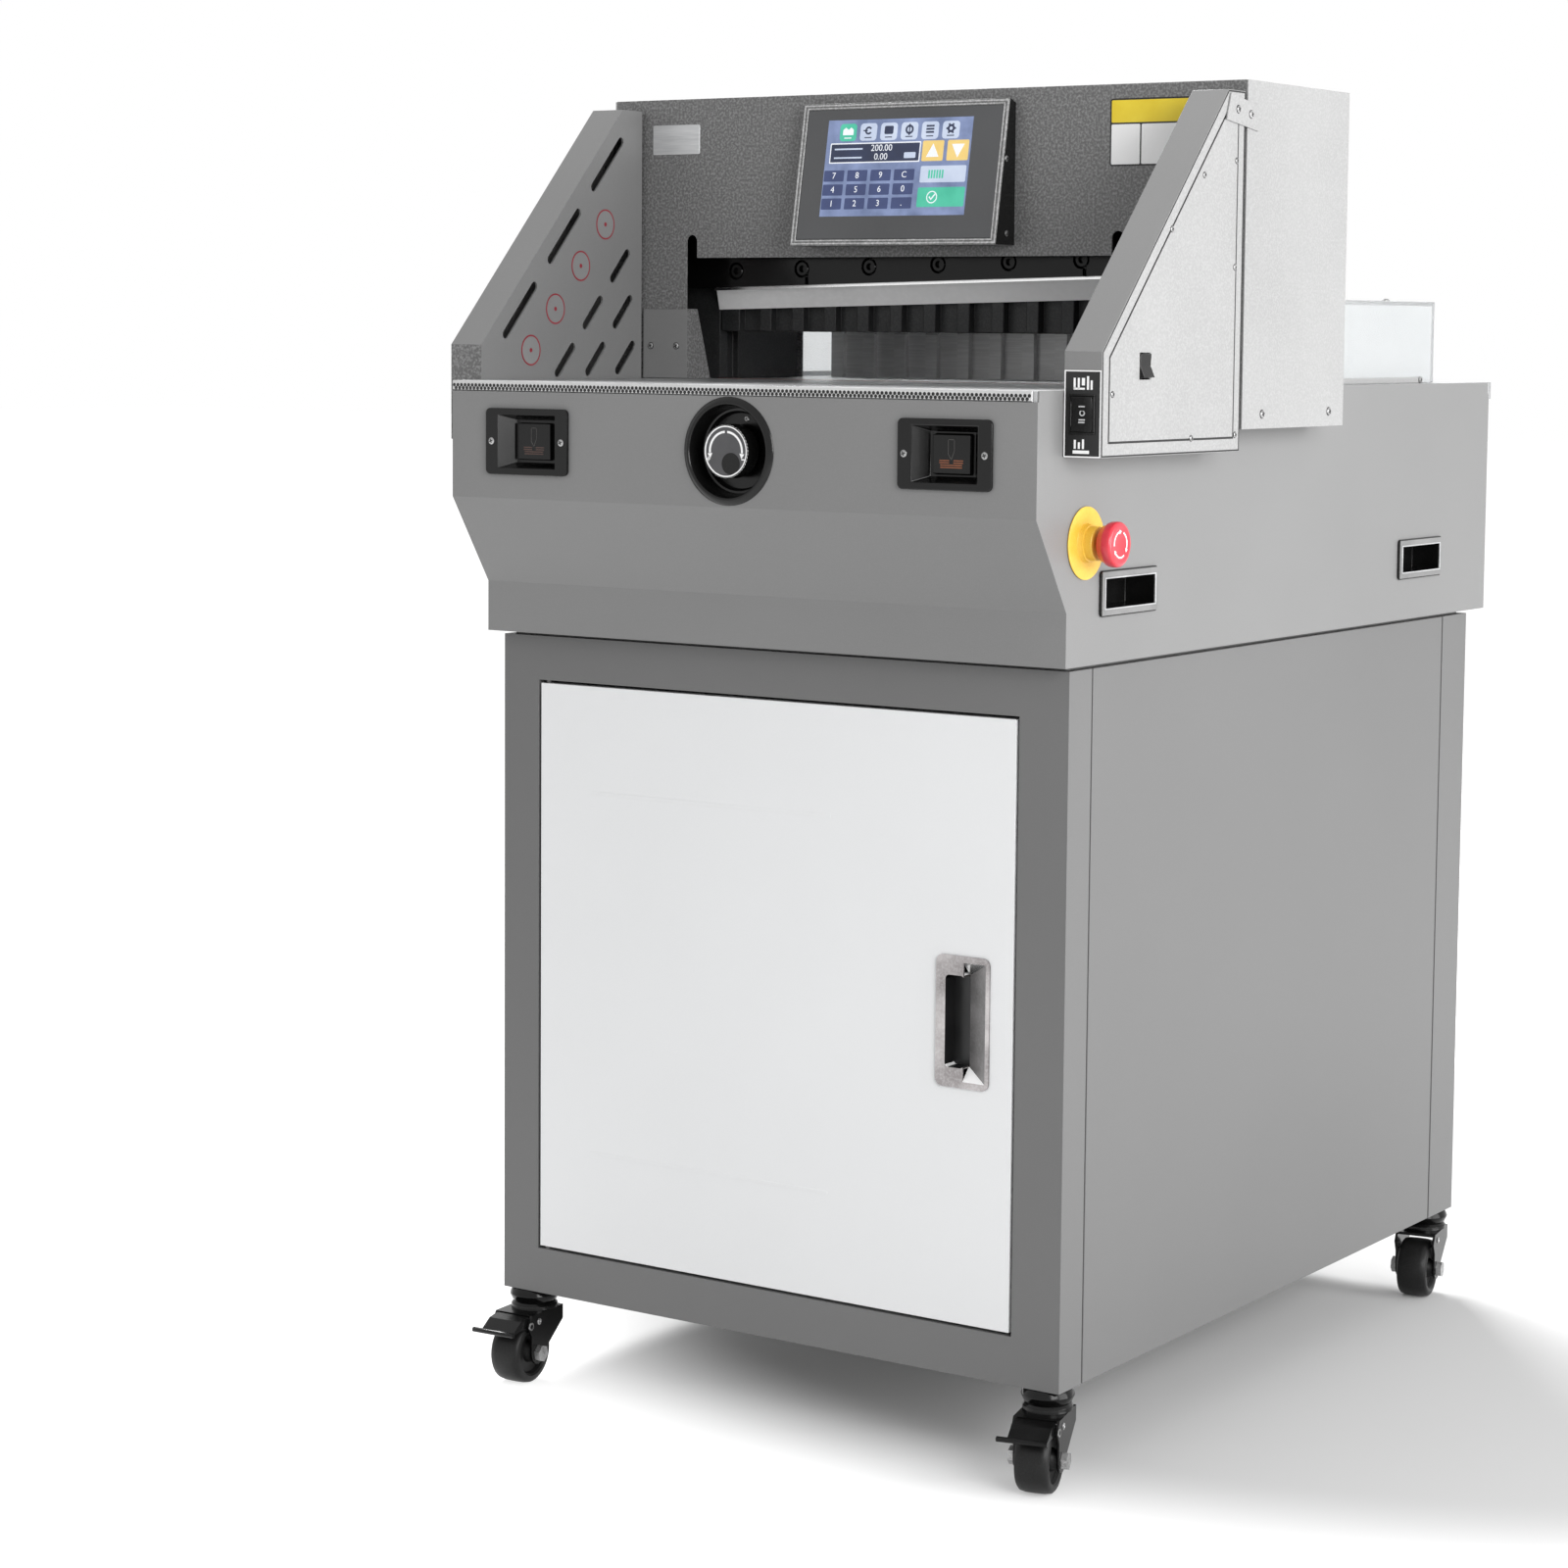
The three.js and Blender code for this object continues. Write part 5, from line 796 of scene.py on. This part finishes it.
# Wings: round signs, painted shadow in the seams round the side covers, screws and a tie bracket to the bridge
wing = dict(inner=320.3, outer=357.3, bevelFoot=(43.6, 33.5), bevelHead=(268, 268), signOut=59,
            signRun=(49, 105, 164, 222), signRadius=15, fieldInset=1.2, fieldHeight=0.2, ringBand=1.5,
            ringHeight=0.25, dot=2.2, flush=0.18, seams=((-0.3, 1.2), (11.5, 12.9)), seamHeight=0.15,
            screws=((164.7, 140.5), (285.9, 109.5), (62.3, -3), (207.3, -43.5), (292, -42), (224.1, 190),
                    (285.9, 205)), screwRadius=2.6)
start = Vector(wing["bevelFoot"])
along = (Vector(wing["bevelHead"]) - start).normalized()
inward = Vector((along.y, -along.x))
rings, fields = bmesh.new(), bmesh.new()
radius = wing["signRadius"]
for run in wing["signRun"]:
    spot = start + along * run + inward * wing["signOut"]
    place = seat((-wing["inner"], spot.x, tableHeight + spot.y), rightward)
    addRod(fields, place, radius - wing["fieldInset"], wing["fieldHeight"], 40)
    addArc(rings, place, radius - wing["ringBand"], radius, wing["ringHeight"], 48)
    addRod(rings, place, wing["dot"], wing["ringHeight"], 16)
addPiece(rings, "wingSignRings", "base", "redPrint")
addPiece(fields, "wingSignFields", "base", "signPaint")
cover = copyOf("wing_cover_left")
outside = max(cover.faces, key=lambda face: -face.normal.x * face.calc_area())
outline = [Vector((-vert.co.y, vert.co.z)) for vert in outside.verts]
cover.free()
if sum(start.cross(end) for start, end in zip(outline, outline[1:] + outline[:1])) < 0:
    outline.reverse()
# black rings drawn round the side covers paint the shadow in the gap between cover and shell
for sideName, side in (("Right", 1), ("Left", -1)):
    bm = bmesh.new()
    flat = Matrix(((0, 0, side, side * wing["outer"]), (-1, 0, 0, 0), (0, 1, 0, 0), (0, 0, 0, 1)))
    for near, far in wing["seams"]:
        addRing(bm, flat, widened(outline, near), widened(outline, far), wing["seamHeight"])
    addPiece(bm, "wingSeams" + sideName, "base", "blackPrint")
screwPiece("wingScrewsRight", [(wing["outer"], back, tableHeight + rise) for back, rise in wing["screws"]],
           rightward, wing["screwRadius"], 1.2)
bm = bmesh.new()
for back, rise in wing["screws"]:
    addRod(bm, seat((-wing["outer"], back, tableHeight + rise), (-1, 0, 0)), wing["screwRadius"],
           wing["flush"], 20)
addPiece(bm, "wingScrewsLeft", "base", "screwSteel")
sideScrews = dict(face=357.5, places=((345.6, 956), (485.7, 956.6)))
screwPiece("sideCoverScrews", [(sideScrews["face"], *place) for place in sideScrews["places"]], rightward,
           3.6, 1.8)
tie = dict(face=357.6, outline=((270, 1245), (325, 1236), (325, 1213), (262, 1221)), thickness=1.6,
           screws=((283.5, 1231), (309, 1227.7)))
bm = bmesh.new()
addOutline(bm, seat((tie["face"], 0, 0), rightward), tie["outline"], tie["thickness"])
roundEdges(bm, 0.4)
addPiece(bm, "tieBracket", "base", "coverPaint")
screwPiece("tieScrews", [(tie["face"] + tie["thickness"], *place) for place in tie["screws"]], rightward,
           3.4, 1.5)
print("wings")

# Rocker panel on the right wing's front edge
panel = dict(face=43.6, outline=(321, 922.9, 357, 997.6), thickness=0.6, print=0.1, border=1.1,
             rocker=(338.8, 960), hole=(10.3, 15.3), frame=(12.6, 17.6), frameFoot=0.5, frameHeight=1.8,
             marks=((330, 982, 332, 991), (334, 982, 336, 991), (330, 981, 341, 982.6),
                    (338, 984.6, 341, 991), (343, 981, 345, 992.6), (346.6, 981, 348.6, 989),
                    (330, 926.2, 346, 929), (331, 930.4, 333, 938), (335, 930.4, 337, 936),
                    (339, 930.4, 341, 938.6)),
             switchMarks=((-3, 6, 3, 7.2), (-3, -7.6, 3, -6.4), (-3, -5.4, 3, -4.2)), markHeight=0.3,
             dish=0.5, dishSlope=2.5 / 30, switchRing=(1.7, 2.7), ringPlace=(0, 1, 0.6), ringHeight=0.4)
left, foot, right, head = panel["outline"]
across, level = panel["rocker"]
frontSeat = seat((0, panel["face"], 0), forward)
wide, tall = panel["hole"]
hole = (across - wide, level - tall, across + wide, level + tall)
bm = bmesh.new()
addFrame(bm, frontSeat, panel["outline"], hole, 0, panel["thickness"])
addPiece(bm, "rockerPanel", "base", "blackPrint")
bm = bmesh.new()
edge, low, high = panel["border"], panel["print"], panel["thickness"] + panel["print"]
inside = (left + edge, foot + edge, right - edge, head - edge)
addFrame(bm, frontSeat, panel["outline"], inside, low, high)
addBars(bm, frontSeat, panel["marks"], low, high)
addPiece(bm, "rockerPanelMarks", "base", "whitePrint")
bm = bmesh.new()
wide, tall = panel["frame"]
addFrame(bm, frontSeat, (across - wide, level - tall, across + wide, level + tall), hole,
         panel["frameFoot"], panel["frameHeight"])
roundEdges(bm, 0.3, 1)
addPiece(bm, "rockerFrame", "base", "blackPlastic")
bm = bmesh.new()
dish = seat((across, panel["face"], level), forward)
for mark in panel["switchMarks"]:
    depth = panel["dish"] + panel["dishSlope"] * abs(mark[1] + mark[3])
    addBars(bm, dish, (mark,), depth, depth + panel["markHeight"])
addArc(bm, dish @ Matrix.Translation(panel["ringPlace"]), *panel["switchRing"], panel["ringHeight"], 24)
addPiece(bm, "rockerMarks", "rocker", "plate")
print("rocker panel")

# Bridge: nameplate, two-tone label, guard plate's skin and screws
bridge = dict(face=306, plate=(-309.7, 1204.3, -252, 1233.7), plateThickness=0.8, plateCorner=1.6,
              guard=(-319.6, 980.6, -265, 1049.4), guardFace=304, guardSkin=0.6,
              guardScrews=(-310.2, -278.3), guardScrewHeight=1012.8)


def addPlate(bm, outline, thickness, corner):
    # a plate with rounded corners on the bridge's front face
    left, foot, right, head = outline
    addPad(bm, seat(((left + right) / 2, bridge["face"], (foot + head) / 2), forward), right - left,
           head - foot, thickness, corner)


bm = bmesh.new()
addPlate(bm, bridge["plate"], bridge["plateThickness"], bridge["plateCorner"])
roundEdges(bm, 0.2, 1)
addPiece(bm, "namePlate", "base", "plate")
label = {
    "labelEdge": ((215.4, 1183.5, 318, 1245.7), 0.15, 3, "blackPrint"),
    "labelBand": ((217, 1223.5, 316.4, 1244.1), 0.3, 1.2, "yellowPrint"),
    "labelNarrow": ((217, 1185.1, 247, 1221.9), 0.3, 1.2, "whitePrint"),
    "labelField": ((248.6, 1185.1, 316.4, 1221.9), 0.3, 1.2, "whitePrint"),
}
for name, (outline, thickness, corner, finish) in label.items():
    bm = bmesh.new()
    addPlate(bm, outline, thickness, corner)
    addPiece(bm, name, "base", finish)
left, foot, right, head = bridge["guard"]
bm = bmesh.new()
addBox(bm, (left, bridge["guardFace"] - bridge["guardSkin"], foot), (right, bridge["guardFace"], head))
roundEdges(bm, 0.3)
addPiece(bm, "guardSkin", "base", "casingPaint")
screwPiece("guardScrews", [(across, bridge["guardFace"] - bridge["guardSkin"], bridge["guardScrewHeight"])
                           for across in bridge["guardScrews"]], forward, 3, 1.2)
print("bridge")

# Knife: black carrier, ground blade with a painted highlight line above its bevel, and bolts
knife = dict(pivot=(-284, 0, 1180), tilt=-1.418, boltFoot=351.6, first=47.5, pitch=79.8, count=6,
             level=-92.7, lineRun=(12, 530), lineRise=(-111.2, -108.8), lineFront=356.9, lineHeight=0.3)
tilted = Matrix.Translation(knife["pivot"]) @ rotated(knife["tilt"], "Y")
softenedNode("knife_carrier", 0.5, "blackSteel")
softenedNode("knife_blade", 0.3, "groundSteel")
bm = bmesh.new()
for number in range(knife["count"]):
    place = (knife["first"] + number * knife["pitch"], knife["boltFoot"], knife["level"])
    addLathe(bm, tilted @ Matrix.Translation(place) @ facing(forward),
             [(0, 0), (7, 0), (7, 5.4), (6.4, 6), (3.6, 6), (3.4, 2.6), (0, 2.6)], 24)
addPiece(bm, "bladeBolts", "knife", "blackSteel")
# a mirror-bright strip stands in for the highlight along the top of the blade's bevel
bm = bmesh.new()
(start, end), (foot, head), front = knife["lineRun"], knife["lineRise"], knife["lineFront"]
addBox(bm, (start, front - knife["lineHeight"], foot), (end, front, head), tilted)
addPiece(bm, "bladeLine", "knife", "edgeSteel")
print("knife")

# Rear cover: foot strips and fixings
rear = dict(side=300, front=522.3, back=825, head=1064, strip=(0.2, 2), stripFoot=0.3, stripHead=6,
            topScrew=(280, 777), sideScrew=(817, 3.4))
bm = bmesh.new()
for side in (1, -1):
    near, far = (side * (rear["side"] + reach) for reach in rear["strip"])
    addBox(bm, (near, rear["front"], tableHeight + rear["stripFoot"]),
           (far, rear["back"], tableHeight + rear["stripHead"]))
roundEdges(bm, 0.4, 1)
addPiece(bm, "rearCoverStrips", "base", "coverPaint")
bm = bmesh.new()
(across, back), (sideBack, rise) = rear["topScrew"], rear["sideScrew"]
for side in (1, -1):
    addScrew(bm, (side * across, back, rear["head"]), (0, 0, 1), 4, 2.4)
    outside = side * (rear["side"] + rear["strip"][1])
    addScrew(bm, (outside, sideBack, tableHeight + rise), (side, 0, 0), 3, 2)
addPiece(bm, "rearCoverScrews", "base", screwSteelAndShade)
print("rear cover")

# Floor, light and camera
def calculated(tree, operation, first, second):
    node = addNode(tree, "Math")
    node.operation = operation
    for value, socket in zip((first, second), node.inputs):
        tree.links.new(value, socket)
    return node.outputs[0]


def seenDirectly(tree):
    # one where the camera, a mirror or glass looks at the surface, and nought for all other light
    rays = addNode(tree, "LightPath").outputs
    seen = rays["Is Camera Ray"]
    for kind in ("Is Glossy Ray", "Is Transmission Ray"):
        seen = calculated(tree, "MAXIMUM", seen, rays[kind])
    return seen


floor = dict(size=60, level=0.62, lift=(0.04, 0.72), centre=(0.25, 0.57, 0), reach=(0.85, 1.14))
bm = bmesh.new()
bmesh.ops.create_grid(bm, x_segments=1, y_segments=1, size=floor["size"] / 2)
mesh = bpy.data.meshes.new("floor")
bm.to_mesh(mesh)
bm.free()
ground = addObject("floor", mesh)
material = bpy.data.materials.new("floor")
mesh.materials.append(material)
material.use_nodes = True
tree = material.node_tree
tree.nodes.clear()
# the floor is darkest round the machine, a painted shadow centred to its right and back, and goes over into the
# white background further out
spread = addNode(tree, "VectorMath")
spread.operation = "DISTANCE"
spread.inputs[1].default_value = floor["centre"]
tree.links.new(addNode(tree, "TexCoord").outputs["Object"], spread.inputs[0])
ramp = addRange(tree, spread.outputs["Value"], floor["reach"], floor["lift"])
ramp.interpolation_type = "SMOOTHSTEP"
glow = addNode(tree, "Emission")
tree.links.new(calculated(tree, "MULTIPLY", ramp.outputs[0], seenDirectly(tree)), glow.inputs["Strength"])
surface = addNode(tree, "BsdfDiffuse", Color=(floor["level"],) * 3 + (1,))
both = addNode(tree, "AddShader")
for shader, socket in zip((surface, glow), both.inputs):
    tree.links.new(shader.outputs[0], socket)
tree.links.new(both.outputs[0], addNode(tree, "OutputMaterial").inputs["Surface"])

sky = dict(light=0.62, seen=1.0)
world = bpy.data.worlds.new("studio")
bpy.context.scene.world = world
world.use_nodes = True
tree = world.node_tree
tree.nodes.clear()
choice = addNode(tree, "MixShader")
tree.links.new(seenDirectly(tree), choice.inputs[0])
for strength, socket in ((sky["light"], 1), (sky["seen"], 2)):
    sheen = addNode(tree, "Background", Color=(1, 1, 1, 1), Strength=strength)
    tree.links.new(sheen.outputs[0], choice.inputs[socket])
tree.links.new(choice.outputs[0], addNode(tree, "OutputWorld").inputs["Surface"])

lamps = {
    "rightLamp": dict(place=(3.4, 0.3, 1.2), aim=(0, 0, 0.9), size=2.4, power=86),
    "frontLamp": dict(place=(3, -2, 1.7), aim=(-0.3, 0, 1), size=1.6, power=70),
    "topLamp": dict(place=(-1.9, 2.1, 3.8), aim=(0, 0, 0.2), size=1.6, power=235),
}
for name, lamp in lamps.items():
    light = bpy.data.lights.new(name, "AREA")
    light.size, light.energy = lamp["size"], lamp["power"]
    place = Vector(lamp["place"])
    addObject(name, light).matrix_world = seat(place, place - Vector(lamp["aim"]))

view = dict(place=(1.8603, -3.1342, 1.0304), yaw=34.13, pitch=5.22, roll=0.46, lens=82.76, sensor=36,
            shift=-0.08)
camera = addObject("camera", bpy.data.cameras.new("camera"))
camera.data.lens, camera.data.sensor_width = view["lens"], view["sensor"]
camera.data.shift_y = view["shift"]
aim = rotated(view["yaw"]) @ rotated(90 - view["pitch"], "X") @ rotated(view["roll"])
camera.matrix_world = Matrix.Translation(view["place"]) @ aim
bpy.context.scene.camera = camera
bpy.context.scene.view_settings.view_transform = "Standard"
print("camera and light")
